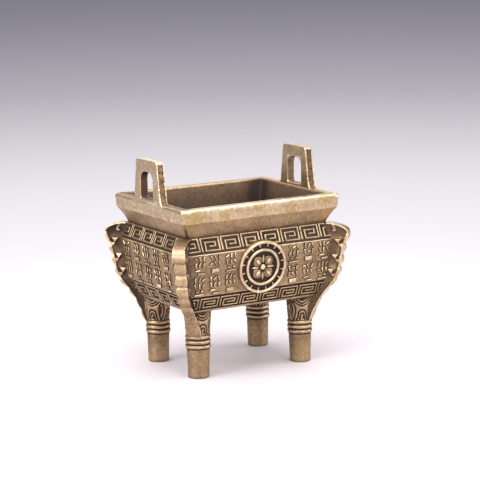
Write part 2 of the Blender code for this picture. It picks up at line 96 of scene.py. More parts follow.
# Antique brass: bright and worn on what stands proud, with brown dirt and patina left in the
# recesses. Each vertex has a number for its wear, from 0 in a dirty recess to 1 on a rubbed edge;
# in some places the same number also carries painted shade and painted highlights.
RECESS_BROWN = (0.026, 0.014, 0.010, 1)
DULL_BROWN = (0.135, 0.084, 0.050, 1)
SATIN_BRASS = (0.39, 0.272, 0.160, 1)
PALE_BRASS = (0.60, 0.455, 0.290, 1)
RUBBED_BRASS = (0.84, 0.70, 0.47, 1)
OLIVE_STAIN = (0.40, 0.265, 0.085, 1)
WEAR_COLOURS = (
    (0.0, RECESS_BROWN),
    (0.3, DULL_BROWN),
    (0.64, SATIN_BRASS),
    (0.88, PALE_BRASS),
    (1.0, RUBBED_BRASS),
)
RECESS_DISTANCE = 0.55
STAINS = (
    ((-0.8, -10.05, 23.6), 1.0),
    ((-10.6, -10.05, 23.2), 2.2),
    ((-6.0, -10.05, 22.9), 1.3),
    ((-12.3, -9.4, 20.9), 0.9),
    ((-11.9, -3.1, 13.4), 0.8),
    ((7.7, -7.3, 2.1), 1.0),
    ((-6.4, -9.4, 12.6), 0.9),
    ((-11.0, -8.4, 19.9), 1.2),
    ((10.2, -10.05, 23.7), 1.5),
    ((4.6, -10.05, 22.6), 1.4),
)


def add_node(tree, kind, **inputs):
    """A shader node with its inputs set: a value is typed in and a socket is linked."""
    node = tree.nodes.new(kind)
    for name, value in inputs.items():
        socket = node.inputs[int(name[1:])] if name[0] == "_" else node.inputs[name.replace("_", " ")]
        if isinstance(value, bpy.types.NodeSocket):
            tree.links.new(value, socket)
        else:
            socket.default_value = value
    return node


def math_node(tree, operation, first, second=0.0, clamp=False):
    node = add_node(tree, "ShaderNodeMath", _0=first, _1=second)
    node.operation = operation
    node.use_clamp = clamp
    return node.outputs[0]


def remap(tree, value, low, high, to_low=0.0, to_high=1.0):
    node = add_node(tree, "ShaderNodeMapRange", _0=value, _1=low, _2=high, _3=to_low, _4=to_high)
    return node.outputs[0]


def blend_colours(tree, share, first, second):
    node = tree.nodes.new("ShaderNodeMix")
    node.data_type = "RGBA"
    tree.links.new(share, node.inputs[0])
    for socket, value in ((node.inputs[6], first), (node.inputs[7], second)):
        if isinstance(value, bpy.types.NodeSocket):
            tree.links.new(value, socket)
        else:
            socket.default_value = value
    return node.outputs[2]


def colour_ramp(tree, share, stops):
    """A ramp through (position, colour) stops."""
    ramp = add_node(tree, "ShaderNodeValToRGB", Fac=share)
    while len(ramp.color_ramp.elements) < len(stops):
        ramp.color_ramp.elements.new(0.5)
    for element, (position, colour) in zip(ramp.color_ramp.elements, stops):
        element.position = position
        element.color = colour
    return ramp.outputs["Color"]


def antique_brass():
    """Brass whose wear, dirt, painted shade, painted highlights, speckles and stains follow the vertices and
    the piece's own place.
    """
    material = bpy.data.materials.new("antique_brass")
    material.use_nodes = True
    tree = material.node_tree
    shader = tree.nodes["Principled BSDF"]
    shader.inputs["Specular IOR Level"].default_value = 0.25
    place = tree.nodes.new("ShaderNodeTexCoord").outputs["Object"]
    in_mm = add_node(tree, "ShaderNodeMapping", Vector=place, Scale=(1 / MM, 1 / MM, 1 / MM)).outputs[0]

    def pattern(scale, detail, roughness=0.5):
        noise_inputs = {"Vector": in_mm, "Scale": scale, "Detail": detail, "Roughness": roughness}
        return add_node(tree, "ShaderNodeTexNoise", **noise_inputs).outputs[0]

    def swing(value, amount):
        """A pattern as a swing of so much to either side of nothing."""
        return remap(tree, value, 0.3, 0.7, -amount, amount)

    clouds = pattern(0.45, 4.0)
    mottle = pattern(1.9, 5.0, 0.65)
    grain = pattern(7.5, 3.0, 0.7)
    speck = remap(tree, pattern(3.0, 1.5), 0.66, 0.74)

    wear_and_painted_light = tree.nodes.new("ShaderNodeAttribute")
    wear_and_painted_light.attribute_name = "wear_and_painted_light"
    recess = add_node(tree, "ShaderNodeAmbientOcclusion", Distance=RECESS_DISTANCE * MM)
    recess.samples = 8
    open_share = remap(tree, recess.outputs["AO"], 0.25, 0.95)
    uneven = math_node(tree, "ADD", swing(mottle, 0.12), swing(grain, 0.07))
    cloudy = math_node(tree, "ADD", uneven, remap(tree, clouds, 0.35, 0.65, -0.05, 0.05))
    calm = remap(tree, wear_and_painted_light.outputs["Fac"], 0.05, 0.4, 0.45, 1.0)
    level = math_node(tree, "ADD", wear_and_painted_light.outputs["Fac"], math_node(tree, "MULTIPLY", cloudy, calm))
    level = math_node(tree, "MULTIPLY", level, remap(tree, open_share, 0.0, 1.0, 0.48, 1.0))
    level = math_node(tree, "SUBTRACT", level, math_node(tree, "MULTIPLY", speck, 0.34), clamp=True)

    brass_by_wear = colour_ramp(tree, level, WEAR_COLOURS)
    stain = None
    for centre, radius in STAINS:
        away = add_node(tree, "ShaderNodeVectorMath", _0=in_mm, _1=centre)
        away.operation = "DISTANCE"
        ragged = math_node(tree, "ADD", away.outputs["Value"], swing(mottle, 0.9))
        patch = remap(tree, ragged, radius, radius * 0.35)
        stain = patch if stain is None else math_node(tree, "MAXIMUM", stain, patch)
    stain = math_node(tree, "MULTIPLY", stain, 0.55)
    tarnish = math_node(tree, "MAXIMUM", stain, remap(tree, clouds, 0.60, 0.72, 0.0, 0.45))
    tarnish = math_node(tree, "MULTIPLY", tarnish, remap(tree, level, 0.3, 0.6))
    colour = blend_colours(tree, tarnish, brass_by_wear, OLIVE_STAIN)
    tree.links.new(colour, shader.inputs["Base Color"])
    tree.links.new(remap(tree, level, 0.05, 0.45, 0.25, 1.0), shader.inputs["Metallic"])
    rough = math_node(tree, "ADD", remap(tree, level, 0.2, 0.95, 0.60, 0.31), swing(grain, 0.05))
    tree.links.new(rough, shader.inputs["Roughness"])

    pits = math_node(tree, "MULTIPLY", speck, 0.5)
    height = math_node(tree, "SUBTRACT", math_node(tree, "MULTIPLY", mottle, 0.6), pits)
    height = math_node(tree, "ADD", height, math_node(tree, "MULTIPLY", grain, 0.25))
    bump = add_node(tree, "ShaderNodeBump", Height=height, Strength=0.45, Distance=0.08 * MM)
    tree.links.new(bump.outputs[0], shader.inputs["Normal"])
    return material


BRASS = antique_brass()


# The bowl is one heavy casting with a flat floor: foot strip, fret bands above and below a
# proud panel, a hollow flare and an upright rim with a broad lip. Wear differs band by band.
LEG_HEIGHT = 9.6
LOWER_BAND_RISE = 2.42
PANEL_RISE = 5.93
UPPER_BAND_RISE = 2.15
FLARE_RISE = 2.23
RIM_RISE = 1.93
LENGTH_OVER_DEPTH = 2.48
NECK_DEPTH = 8.73
PANEL_HEAD_DEPTH = NECK_DEPTH + 0.97
PANEL_FOOT_DEPTH = PANEL_HEAD_DEPTH - 0.7
UNDERSIDE_DEPTH = PANEL_FOOT_DEPTH - 1.15
RIM_FOOT_DEPTH = NECK_DEPTH + 1.25
RIM_TOP_DEPTH = RIM_FOOT_DEPTH + 0.13
UNDERSIDE = LEG_HEIGHT
PANEL_FOOT = UNDERSIDE + LOWER_BAND_RISE
PANEL_HEAD = PANEL_FOOT + PANEL_RISE
NECK = PANEL_HEAD + UPPER_BAND_RISE
RIM_FOOT = NECK + FLARE_RISE
RIM_TOP = RIM_FOOT + RIM_RISE
PANEL_PROUD = 0.17
STRIP_WIDTH = 0.36
STRIP_PROUD = 0.14
EDGE = 0.05
LIP_WIDTH = 1.5
NECK_WALL = 1.25
BODY_WALL = 1.75
FLOOR = UNDERSIDE + 1.7
CORNER_RADIUS = 0.42
HOLLOW_CORNER_RADIUS = 0.22
RING_SPACING = 0.7
UNEVENNESS = 0.05
UNEVENNESS_SEED = 11
SEAM_RISE = 1.3

# Without a seed the unevenness of the castings would differ from run to run.
noise.seed_set(UNEVENNESS_SEED)


def start_mesh():
    builder = bmesh.new()
    builder.verts.layers.float.new("wear_and_painted_light")
    return builder


def set_wear_and_light(builder, verts, value):
    layer = builder.verts.layers.float["wear_and_painted_light"]
    for vert in verts:
        vert[layer] = value


def set_aside(builder, name):
    """Keep a worked shape as a mesh, and free what it was worked with."""
    mesh = bpy.data.meshes.new(name)
    builder.to_mesh(mesh)
    builder.free()
    return mesh


def copy_of(mesh):
    copy = start_mesh()
    copy.from_mesh(mesh)
    return copy


def add_shape(target, builder):
    """Add a shape that is in its place to a piece that is being worked."""
    mesh = set_aside(builder, "placed")
    target.from_mesh(mesh)
    bpy.data.meshes.remove(mesh)


def turn_upright(builder, angle):
    """Turn a shape about the upright line through its origin."""
    bmesh.ops.rotate(builder, cent=(0, 0, 0), matrix=Matrix.Rotation(angle, 3, "Z"), verts=builder.verts)


def finish_piece(name, builder, smooth_angle):
    """Bring a mesh to metres and make it a brass piece of the censer that rides on its body."""
    bmesh.ops.scale(builder, vec=(MM, MM, MM), verts=builder.verts)
    mesh = set_aside(builder, name)
    mesh.materials.append(BRASS)
    mesh.shade_smooth()
    mesh.set_sharp_from_angle(angle=math.radians(smooth_angle))
    piece = bpy.data.objects.new(name, mesh)
    bpy.context.collection.objects.link(piece)
    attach(piece, "root")
    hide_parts("censer")


def half_depth(z):
    """Half the body's depth at a height, without the panel's small ledge."""
    levels = (
        (UNDERSIDE, UNDERSIDE_DEPTH),
        (PANEL_FOOT, PANEL_FOOT_DEPTH),
        (PANEL_HEAD, PANEL_HEAD_DEPTH),
        (NECK, NECK_DEPTH),
        (RIM_FOOT, RIM_FOOT_DEPTH),
        (RIM_TOP, RIM_TOP_DEPTH),
    )
    for (z0, d0), (z1, d1) in zip(levels, levels[1:]):
        if z <= z1:
            return d0 + (d1 - d0) * (z - z0) / (z1 - z0)
    return RIM_TOP_DEPTH


def rounded_face(builder, depth, z, radius):
    """A level four-sided face with rounded corners and closely divided sides."""
    length = depth + LENGTH_OVER_DEPTH
    corners = []
    for number, (sx, sy) in enumerate(((1, 1), (-1, 1), (-1, -1), (1, -1))):
        for i in range(5):
            angle = math.radians(90 * number + 90 * i / 4)
            centre = Vector((sx * (length - radius), sy * (depth - radius)))
            corners.append(centre + Vector((math.cos(angle), math.sin(angle))) * radius)
    outline = []
    for point, following in zip(corners, corners[1:] + corners[:1]):
        cuts = max(1, round((following - point).length / RING_SPACING))
        outline += [point.lerp(following, i / cuts) for i in range(cuts)]
    return builder.faces.new([builder.verts.new((x, y, z)) for x, y in outline])


def extrude_cap(builder, face, keep_face=False):
    """Extrude a flat face, and give back the moved verts and the new cap."""
    grown = bmesh.ops.extrude_face_region(builder, geom=[face], use_keep_orig=True)
    if not keep_face:
        bmesh.ops.delete(builder, geom=[face], context="FACES_ONLY")
    verts = [item for item in grown["geom"] if isinstance(item, bmesh.types.BMVert)]
    cap = next(item for item in grown["geom"] if isinstance(item, bmesh.types.BMFace))
    return verts, cap


def climb(builder, face, depth, z, levels):
    """Extrude a level face through (height, half depth, wear) levels, and return the last face."""
    for number, (next_z, next_depth, wear_and_painted_light) in enumerate(levels):
        verts, face = extrude_cap(builder, face, number == 0)
        across = next_depth / depth
        along = (next_depth + LENGTH_OVER_DEPTH) / (depth + LENGTH_OVER_DEPTH)
        bmesh.ops.scale(builder, vec=(along, across, 1), verts=verts)
        bmesh.ops.translate(builder, vec=(0, 0, next_z - z), verts=verts)
        set_wear_and_light(builder, verts, wear_and_painted_light)
        z, depth = next_z, next_depth
    return face


strip_top = UNDERSIDE + STRIP_WIDTH
flare_middle = (NECK + RIM_FOOT) / 2
outside = (
    (UNDERSIDE + EDGE, UNDERSIDE_DEPTH + STRIP_PROUD, 0.72),
    (strip_top - EDGE, half_depth(strip_top) + STRIP_PROUD, 0.8),
    (strip_top, half_depth(strip_top), -0.04),
    (PANEL_FOOT - EDGE, PANEL_FOOT_DEPTH, -0.1),
    (PANEL_FOOT, PANEL_FOOT_DEPTH + PANEL_PROUD - EDGE, 0.6),
    (PANEL_FOOT + EDGE, PANEL_FOOT_DEPTH + PANEL_PROUD, 0.82),
    (PANEL_FOOT + 4 * EDGE, half_depth(PANEL_FOOT + 4 * EDGE) + PANEL_PROUD, 0.53),
    ((PANEL_FOOT + PANEL_HEAD) / 2, half_depth((PANEL_FOOT + PANEL_HEAD) / 2) + PANEL_PROUD, 0.51),
    (PANEL_HEAD - 4 * EDGE, half_depth(PANEL_HEAD - 4 * EDGE) + PANEL_PROUD, 0.56),
    (PANEL_HEAD - EDGE, PANEL_HEAD_DEPTH + PANEL_PROUD, 1.0),
    (PANEL_HEAD, PANEL_HEAD_DEPTH + PANEL_PROUD - EDGE, 1.0),
    (PANEL_HEAD + EDGE / 2, PANEL_HEAD_DEPTH, 0.04),
    (NECK - EDGE, NECK_DEPTH + EDGE / 2, 0.04),
    (NECK + EDGE * 2, NECK_DEPTH + EDGE / 2, 0.26),
    (NECK + FLARE_RISE * 0.25, half_depth(NECK + FLARE_RISE * 0.25) - 0.08, 0.53),
    (flare_middle, half_depth(flare_middle) - 0.12, 0.63),
    (NECK + FLARE_RISE * 0.8, half_depth(NECK + FLARE_RISE * 0.8) - 0.08, 0.66),
    (RIM_FOOT - 2 * EDGE, half_depth(RIM_FOOT - 2 * EDGE) - EDGE / 2, 0.64),
    (RIM_FOOT, RIM_FOOT_DEPTH - EDGE / 2, 0.78),
    (RIM_FOOT + 3 * EDGE, half_depth(RIM_FOOT + 3 * EDGE), 0.84),
    (RIM_FOOT + RIM_RISE * 0.3, half_depth(RIM_FOOT + RIM_RISE * 0.3), 0.82),
    (RIM_FOOT + RIM_RISE * 0.6, half_depth(RIM_FOOT + RIM_RISE * 0.6), 0.82),
    (RIM_TOP - 0.42, RIM_TOP_DEPTH, 0.94),
    (RIM_TOP - 0.22, RIM_TOP_DEPTH - 0.06, 0.92),
    (RIM_TOP - 0.08, RIM_TOP_DEPTH - 0.19, 1.0),
    (RIM_TOP - 0.01, RIM_TOP_DEPTH - 0.36, 0.9),
    (RIM_TOP, RIM_TOP_DEPTH - 0.6, 0.68),
)
neck_inside = NECK_DEPTH - NECK_WALL
lip_inside = RIM_TOP_DEPTH - LIP_WIDTH
floor_inside = half_depth(FLOOR + 0.5) - BODY_WALL
inside = (
    (FLOOR + 0.15, floor_inside - 0.15, 0.06),
    (FLOOR + 0.5, floor_inside, 0.06),
    ((FLOOR + NECK) / 2, (floor_inside + neck_inside) / 2, 0.08),
    (NECK, neck_inside, 0.11),
    (RIM_FOOT, neck_inside + (lip_inside - neck_inside) * 0.5, 0.15),
    (RIM_TOP - 0.32, lip_inside - 0.04, 0.26),
    (RIM_TOP - 0.1, lip_inside + 0.04, 0.66),
    (RIM_TOP, lip_inside + 0.22, 0.68),
)
lip_end = lip_inside + LENGTH_OVER_DEPTH - 0.1
bowl = start_mesh()
first = rounded_face(bowl, UNDERSIDE_DEPTH + STRIP_PROUD - EDGE, UNDERSIDE, CORNER_RADIUS)
set_wear_and_light(bowl, bowl.verts, 0.4)
lid = climb(bowl, first, UNDERSIDE_DEPTH + STRIP_PROUD - EDGE, UNDERSIDE, outside)
bmesh.ops.delete(bowl, geom=[lid], context="FACES_ONLY")
hollow = start_mesh()
first = rounded_face(hollow, floor_inside - 0.5, FLOOR, HOLLOW_CORNER_RADIUS)
set_wear_and_light(hollow, hollow.verts, 0.18)
lid = climb(hollow, first, floor_inside - 0.5, FLOOR, inside)
bmesh.ops.delete(hollow, geom=[lid], context="FACES_ONLY")
wear_and_light_layer = hollow.verts.layers.float["wear_and_painted_light"]
# Painted shade: the hollow's walls are painted darker into its four inner corners, below the lip.
for vert in hollow.verts:
    corner = Vector((lip_inside + LENGTH_OVER_DEPTH - abs(vert.co.x), lip_inside - abs(vert.co.y)))
    if vert.co.z < RIM_TOP - 0.1:
        vert[wear_and_light_layer] -= 0.4 * math.exp(-(corner.length / 2.4) ** 2)
add_shape(bowl, hollow)
open_edges = [e for e in bowl.edges if e.is_boundary]
bmesh.ops.bridge_loops(bowl, edges=open_edges)
bmesh.ops.recalc_face_normals(bowl, faces=bowl.faces)
wear_and_light_layer = bowl.verts.layers.float["wear_and_painted_light"]
for vert in bowl.verts:
    depth = half_depth(vert.co.z)
    from_corner = depth + LENGTH_OVER_DEPTH - abs(vert.co.x) + depth - abs(vert.co.y)
    # Painted shade: below the neck, the walls are painted darker close to each corner, beside the flanges.
    if UNDERSIDE + 0.1 < vert.co.z < NECK and from_corner < 3:
        vert[wear_and_light_layer] -= 0.3 * math.exp(-(from_corner / 1.15) ** 4)
    if vert.co.z > RIM_TOP - 0.05 and vert.co.x < -lip_end:
        vert[wear_and_light_layer] -= 0.34
    on_near_corner = vert.co.x < 0 and abs(vert.co.y - vert.co.x - LENGTH_OVER_DEPTH) < 0.02
    if on_near_corner and NECK < vert.co.z < NECK + SEAM_RISE:
        vert[wear_and_light_layer] -= 0.5
    swell = noise.noise_vector(vert.co * 0.35) * UNEVENNESS
    nick = 0
    if vert.co.z > RIM_TOP - 0.5:
        nick = max(0, noise.noise(vert.co * 1.3 + Vector((7, 3, 1))) - 0.35) * 0.12
    vert.co += Vector((swell.x, swell.y, swell.z * 0.5 - nick))
finish_piece("bowl", bowl, 50)


# The fret bands: squared spirals cast proud of a dark ground, above and below the panels on all
# four sides. They are raised as flat work first and then laid on the sloping walls.
FRET_PITCH = 3.18
FRET_LINE = 0.21
FRET_RELIEF = 0.2
FRET_TOP_MARGIN = 0.06
FRET_SIDE_MARGIN = 0.32
FLANGE_PLATE_THICKNESS = 1.2
ROOT = 0.25
FRET_WOBBLE = 0.025
HALO_RISE = 0.02
SHORT_SIDE_GAIN = 0.18
SIDES = ("front", "right", "back", "left")
SHOWN_SIDES = ("front", "left")


class Wall:
    """One sloping stretch of a side: its size, and where its flat work goes."""

    def __init__(self, side, z_low, depth_low, z_high, depth_high):
        self.side = side
        self.long_side = side in ("front", "back")
        turn = Matrix.Rotation(math.radians(90 * SIDES.index(side)), 3, "Z")
        outward = turn @ Vector((0, -1, 0))
        along = turn @ Vector((1, 0, 0))
        extra = 0 if self.long_side else LENGTH_OVER_DEPTH
        rise = outward * (depth_high - depth_low) + Vector((0, 0, z_high - z_low))
        origin = outward * (depth_low + extra) + Vector((0, 0, z_low))
        self.height = rise.length
        self.half_low = depth_low + (LENGTH_OVER_DEPTH if self.long_side else 0)
        self.half_high = self.half_low + depth_high - depth_low
        tilt = rise.normalized()
        upright = Matrix((along, tilt, along.cross(tilt))).transposed().to_4x4()
        self.place = Matrix.Translation(origin) @ upright

    def free_half(self, y):
        """Half the width between the corner flanges, at a distance up the slope."""
        half = self.half_low + (self.half_high - self.half_low) * y / self.height
        return half - FLANGE_PLATE_THICKNESS / math.sqrt(2)

    def lay(self, target, flat, trim=False):
        """Move flat work on to the wall, cut off inside the flanges, and add it to a mesh."""
        if trim:
            for side in (-1, 1):
                low = Vector((side * (self.free_half(0) + ROOT), 0, 0))
                high = Vector((side * (self.free_half(self.height) + ROOT), self.height, 0))
                normal = Vector((high.y - low.y, low.x - high.x, 0)) * side
                everything = flat.verts[:] + flat.edges[:] + flat.faces[:]
                cut = bmesh.ops.bisect_plane(
                    flat, geom=everything, dist=1e-4, plane_co=low, plane_no=normal, clear_outer=True,
                )
                edges = [item for item in cut["geom_cut"] if isinstance(item, bmesh.types.BMEdge)]
                bmesh.ops.holes_fill(flat, edges=edges)
        bmesh.ops.recalc_face_normals(flat, faces=flat.faces)
        bmesh.ops.transform(flat, matrix=self.place, verts=flat.verts)
        add_shape(target, flat)


def band_walls(z_low, depth_low, z_high, depth_high):
    return [Wall(side, z_low, depth_low, z_high, depth_high) for side in SIDES]


def ribbon(path, widths):
    """The outline of a line along a path, with mitred corners and a width at each point."""
    points = [Vector(point) for point in path]
    one_side, other_side = [], []
    for i, (point, width) in enumerate(zip(points, widths)):
        before = (point - points[i - 1]).normalized() if i else None
        after = (points[i + 1] - point).normalized() if i + 1 < len(points) else None
        first, second = before or after, after or before
        normal_1 = Vector((-first.y, first.x))
        normal_2 = Vector((-second.y, second.x))
        shift = (normal_1 + normal_2) * (width / 2 / (1 + normal_1.dot(normal_2)))
        one_side.append(point + shift)
        other_side.append(point - shift)
    return one_side + other_side[::-1]


def raise_outline(builder, outline, relief, chamfer, ground_wear=0.05, top_wear=1.0, base=0.0, halo=0.0):
    """Raise a flat outline from below the ground to a chamfered top, inside a dark halo."""
    face = builder.faces.new([builder.verts.new((x, y, base - ROOT)) for x, y in outline])
    face.normal_update()
    if face.normal.z < 0:
        face.normal_flip()
    set_wear_and_light(builder, face.verts, ground_wear)
    if halo:
        verts, face = extrude_cap(builder, face, keep_face=True)
        bmesh.ops.translate(builder, vec=(0, 0, ROOT + HALO_RISE), verts=verts)
        bmesh.ops.inset_region(builder, faces=[face], thickness=halo, use_even_offset=True)
        set_wear_and_light(builder, verts, ground_wear + 0.2)
        set_wear_and_light(builder, face.verts, ground_wear)
    rise = (relief * 0.3, relief * 0.7 - chamfer) if halo else (ROOT + relief * 0.2, relief * 0.8 - chamfer)
    for number, (step, wear_and_painted_light) in enumerate(zip(rise, (ground_wear, top_wear * 0.85))):
        verts, face = extrude_cap(builder, face, keep_face=number == 0 and not halo)
        bmesh.ops.translate(builder, vec=(0, 0, step), verts=verts)
        set_wear_and_light(builder, verts, wear_and_painted_light)
    bmesh.ops.inset_region(builder, faces=[face], thickness=chamfer, depth=chamfer, use_even_offset=True)
    set_wear_and_light(builder, face.verts, top_wear)


def fret_path(height):
    """The squared spiral as the middle of its line: up, over, and in to the centre."""
    left = FRET_LINE / 2
    right = FRET_PITCH - FRET_LINE * 1.6
    low, high = FRET_LINE / 2, height - FRET_LINE / 2
    step = (high - low) / 3
    return [
        (left, 0), (left, high), (right, high), (right, low), (left + step, low), (left + step, high - step),
        (right - step, high - step), (right - step, low + step), (left + 2 * step, low + step),
    ]


chance = random.Random(11)


def wobble():
    """A small slip in a line that was cut by hand."""
    return chance.uniform(-1, 1) * FRET_WOBBLE


frets = start_mesh()
bands = (
    (
        UNDERSIDE, UNDERSIDE_DEPTH, PANEL_FOOT, PANEL_FOOT_DEPTH,
        STRIP_WIDTH + FRET_SIDE_MARGIN, FRET_SIDE_MARGIN, -0.08, 0.64,
    ),
    (
        PANEL_HEAD, PANEL_HEAD_DEPTH, NECK, NECK_DEPTH,
        FRET_SIDE_MARGIN, FRET_TOP_MARGIN, 0.05, 0.77,
    ),
)
for z_low, depth_low, z_high, depth_high, margin_low, margin_high, ground_wear, top_wear in bands:
    for wall in band_walls(z_low, depth_low, z_high, depth_high):
        taller = SHORT_SIDE_GAIN if z_low == UNDERSIDE and not wall.long_side else 0
        height = wall.height - margin_low - margin_high + 2 * taller
        count = math.ceil((wall.free_half(wall.height / 2) + ROOT) / FRET_PITCH)
        flat = start_mesh()
        for unit in range(-count, count):
            start = unit * FRET_PITCH + FRET_LINE / 2
            spiral = fret_path(height)
            path = [(start + x + wobble(), margin_low - taller + y + wobble()) for x, y in spiral]
            widths = [FRET_LINE * chance.uniform(0.88, 1.12) for point in path]
            relief = FRET_RELIEF * chance.uniform(0.85, 1.0)
            line_wear = top_wear + chance.uniform(-0.1, 0.1)
            raise_outline(flat, ribbon(path, widths), relief, 0.06, ground_wear, line_wear)
        wall.lay(frets, flat, trim=True)
finish_piece("frets", frets, 30)


# The panels carry rows of short raised strokes, three columns on each side of the roundel and
# six on the short sides. They are cast with the bowl, spell nothing, and are softly worn.
STROKE_LINE = 0.19
STROKE_RELIEF = 0.16
STROKE_HALO = 0.075
COLUMN_PITCH_LONG = 2.45
COLUMN_PITCH_SHORT = 2.85
COLUMNS_BESIDE_ROUNDEL = 3
COLUMNS_ON_SHORT_SIDE = 6
ROWS = 2
BLOCK_WIDTH = 1.85
BLOCK_LEVELS = 2
BLOCK_PLACES = 3
FOOT_SHARE = 0.36
ROW_MARGIN = 0.16
FIRST_COLUMN = 5.0375


def stroke_block(variant, width, height):
    """Loose leaning strokes over a bar, two dots and a dash, or two dashes, as (path, widths)."""
    thin, thick = STROKE_LINE * 0.75, STROKE_LINE * 1.35
    cell_width = width / BLOCK_PLACES
    cell_height = height * (1 - FOOT_SHARE) / BLOCK_LEVELS
    flat_place = chance.randrange(BLOCK_LEVELS * BLOCK_PLACES)
    lines = []
    for cell in range(BLOCK_LEVELS * BLOCK_PLACES):
        level, place = divmod(cell, BLOCK_PLACES)
        across = (place - (BLOCK_PLACES - 1) / 2) * cell_width
        centre = Vector((across, height * FOOT_SHARE + (level + 0.55) * cell_height))
        lean = chance.uniform(-0.75, 0.75)
        reach = Vector((math.sin(lean) * cell_width * 0.4, math.cos(lean) * cell_height * 0.4))
        if cell == flat_place:
            reach = Vector((cell_width * 0.38, cell_height * chance.uniform(-0.15, 0.25)))
        bend = Vector((chance.uniform(-0.05, 0.05), 0))
        lines.append(([centre - reach, centre + bend, centre + reach], (thin, STROKE_LINE, thick)))
    half = width / 2
    if variant % 3 == 0:
        bar = [(-half * 0.6, height * 0.14), (half * 0.6, height * 0.16)]
        lines.append((bar, (height * 0.2, height * 0.2)))
    elif variant % 3 == 1:
        lines.append(([(-half * 0.8, height * 0.05), (half * 0.8, height * 0.07)], (thin, STROKE_LINE)))
        lines.append(([(-half * 0.55, height * 0.25), (-half * 0.3, height * 0.23)], (thick, thick)))
        lines.append(([(half * 0.3, height * 0.26), (half * 0.56, height * 0.24)], (thick, thick)))
    else:
        lines.append(([(-half * 0.75, height * 0.23), (half * 0.1, height * 0.25)], (thin, STROKE_LINE)))
        lines.append(([(-half * 0.3, height * 0.05), (half * 0.8, height * 0.06)], (STROKE_LINE, thick)))
    return lines


strokes = start_mesh()
panels = band_walls(PANEL_FOOT, PANEL_FOOT_DEPTH + PANEL_PROUD, PANEL_HEAD, PANEL_HEAD_DEPTH + PANEL_PROUD)
for number, wall in enumerate(panels):
    if wall.long_side:
        outward = [FIRST_COLUMN + i * COLUMN_PITCH_LONG for i in range(COLUMNS_BESIDE_ROUNDEL)]
        columns = [-x for x in outward] + outward
    else:
        middle = (COLUMNS_ON_SHORT_SIDE - 1) / 2
        columns = [(i - middle) * COLUMN_PITCH_SHORT for i in range(COLUMNS_ON_SHORT_SIDE)]
    row_height = wall.height / ROWS
    flat = start_mesh()
    for row in range(ROWS):
        low = row * row_height + ROW_MARGIN
        limit = wall.free_half(low) - BLOCK_WIDTH / 2
        for place, column in enumerate(columns):
            corner = Vector((max(-limit, min(limit, column)), low))
            lines = stroke_block(number + place * 2 + row, BLOCK_WIDTH, row_height - 2 * ROW_MARGIN)
            for order, (path, widths) in enumerate(lines):
                points = [corner + Vector(point) for point in path]
                line_ends = (points[0] - points[1]).normalized() * STROKE_HALO
                points[0] += line_ends
                points[-1] += (points[-1] - points[-2]).normalized() * STROKE_HALO
                widths = [width + 2 * STROKE_HALO for width in widths]
                relief = STROKE_RELIEF * chance.uniform(0.8, 1.1)
                top_wear = chance.uniform(0.7, 1.0)
                # The sides that the photograph hides are plainer: every other stroke is left off.
                if wall.side in SHOWN_SIDES or order % 2 == 0:
                    raise_outline(flat, ribbon(points, widths), relief, 0.05, 0.0, top_wear, halo=STROKE_HALO)
    wall.lay(strokes, flat)
finish_piece("panel_strokes", strokes, 30)


# A roundel stands in the middle of each long side: two turned-looking rings with a channel of
# small studs between them, and in the sunk disc a bold four-petalled rosette. The one at the
# back is plainer, without studs, veins or sepals.
ROUNDEL_RADIUS = 3.75
ROUNDEL_LIFT = 0.2
ROUNDEL_ROOT = 1.2
ROUNDEL_RING_WIDTH = 0.42
ROUNDEL_INNER_RADIUS = 2.66
ROUNDEL_PROUD = 0.36
ROUNDEL_GROUND = 0.12
ROUNDEL_STEPS = 72
TICKS = 16
ROSETTE_PETALS = 4
ROSETTE_REACH = 1.95
PETAL_WIDTH = 1.5
SEPAL_REACH = 1.8
SEPAL_WIDTH = 0.34
BOSS_RADIUS = 0.4


def turn_profile(builder, profile, steps):
    """Spin (radius, height, wear) points once round the Z axis."""
    verts = []
    for radius, height, wear_and_painted_light in profile:
        vert = builder.verts.new((radius, 0, height))
        set_wear_and_light(builder, [vert], wear_and_painted_light)
        verts.append(vert)
    edges = [builder.edges.new(pair) for pair in zip(verts, verts[1:])]
    bmesh.ops.spin(
        builder, geom=verts + edges, cent=(0, 0, 0), axis=(0, 0, 1),
        angle=math.tau, steps=steps, use_merge=True,
    )
    bmesh.ops.remove_doubles(builder, verts=builder.verts, dist=1e-4)


def ring_profile(outer, width, low, high):
    """A raised ring's rounded section, from its outer foot over to its inner foot."""
    inner = outer - width
    bevel = width * 0.3
    return [
        (outer, low, -0.02),
        (outer, high - bevel * 0.9, 0.85),
        (outer - bevel * 0.5, high - bevel * 0.2, 0.86),
        (outer - bevel, high, 0.9),
        (inner + bevel, high, 0.9),
        (inner + bevel * 0.5, high - bevel * 0.2, 0.86),
        (inner, high - bevel * 0.9, 0.7),
        (inner, ROUNDEL_GROUND, -0.08),
    ]


def petal_outline(angle, start, reach, width, steps=8):
    """A leaf-shaped outline that points away from the middle at an angle."""
    shares = [i / steps for i in range(1, steps)]
    side = [(start + (reach - start) * s, width / 2 * math.sin(math.pi * s) ** 0.75) for s in shares]
    flat = [(start, 0)] + side + [(reach, 0)] + [(x, -y) for x, y in reversed(side)]
    cos, sin = math.cos(angle), math.sin(angle)
    return [(x * cos - y * sin, x * sin + y * cos) for x, y in flat]


def circle_outline(centre, radius, steps):
    angles = [math.tau * i / steps for i in range(steps)]
    return [(centre[0] + radius * math.cos(a), centre[1] + radius * math.sin(a)) for a in angles]


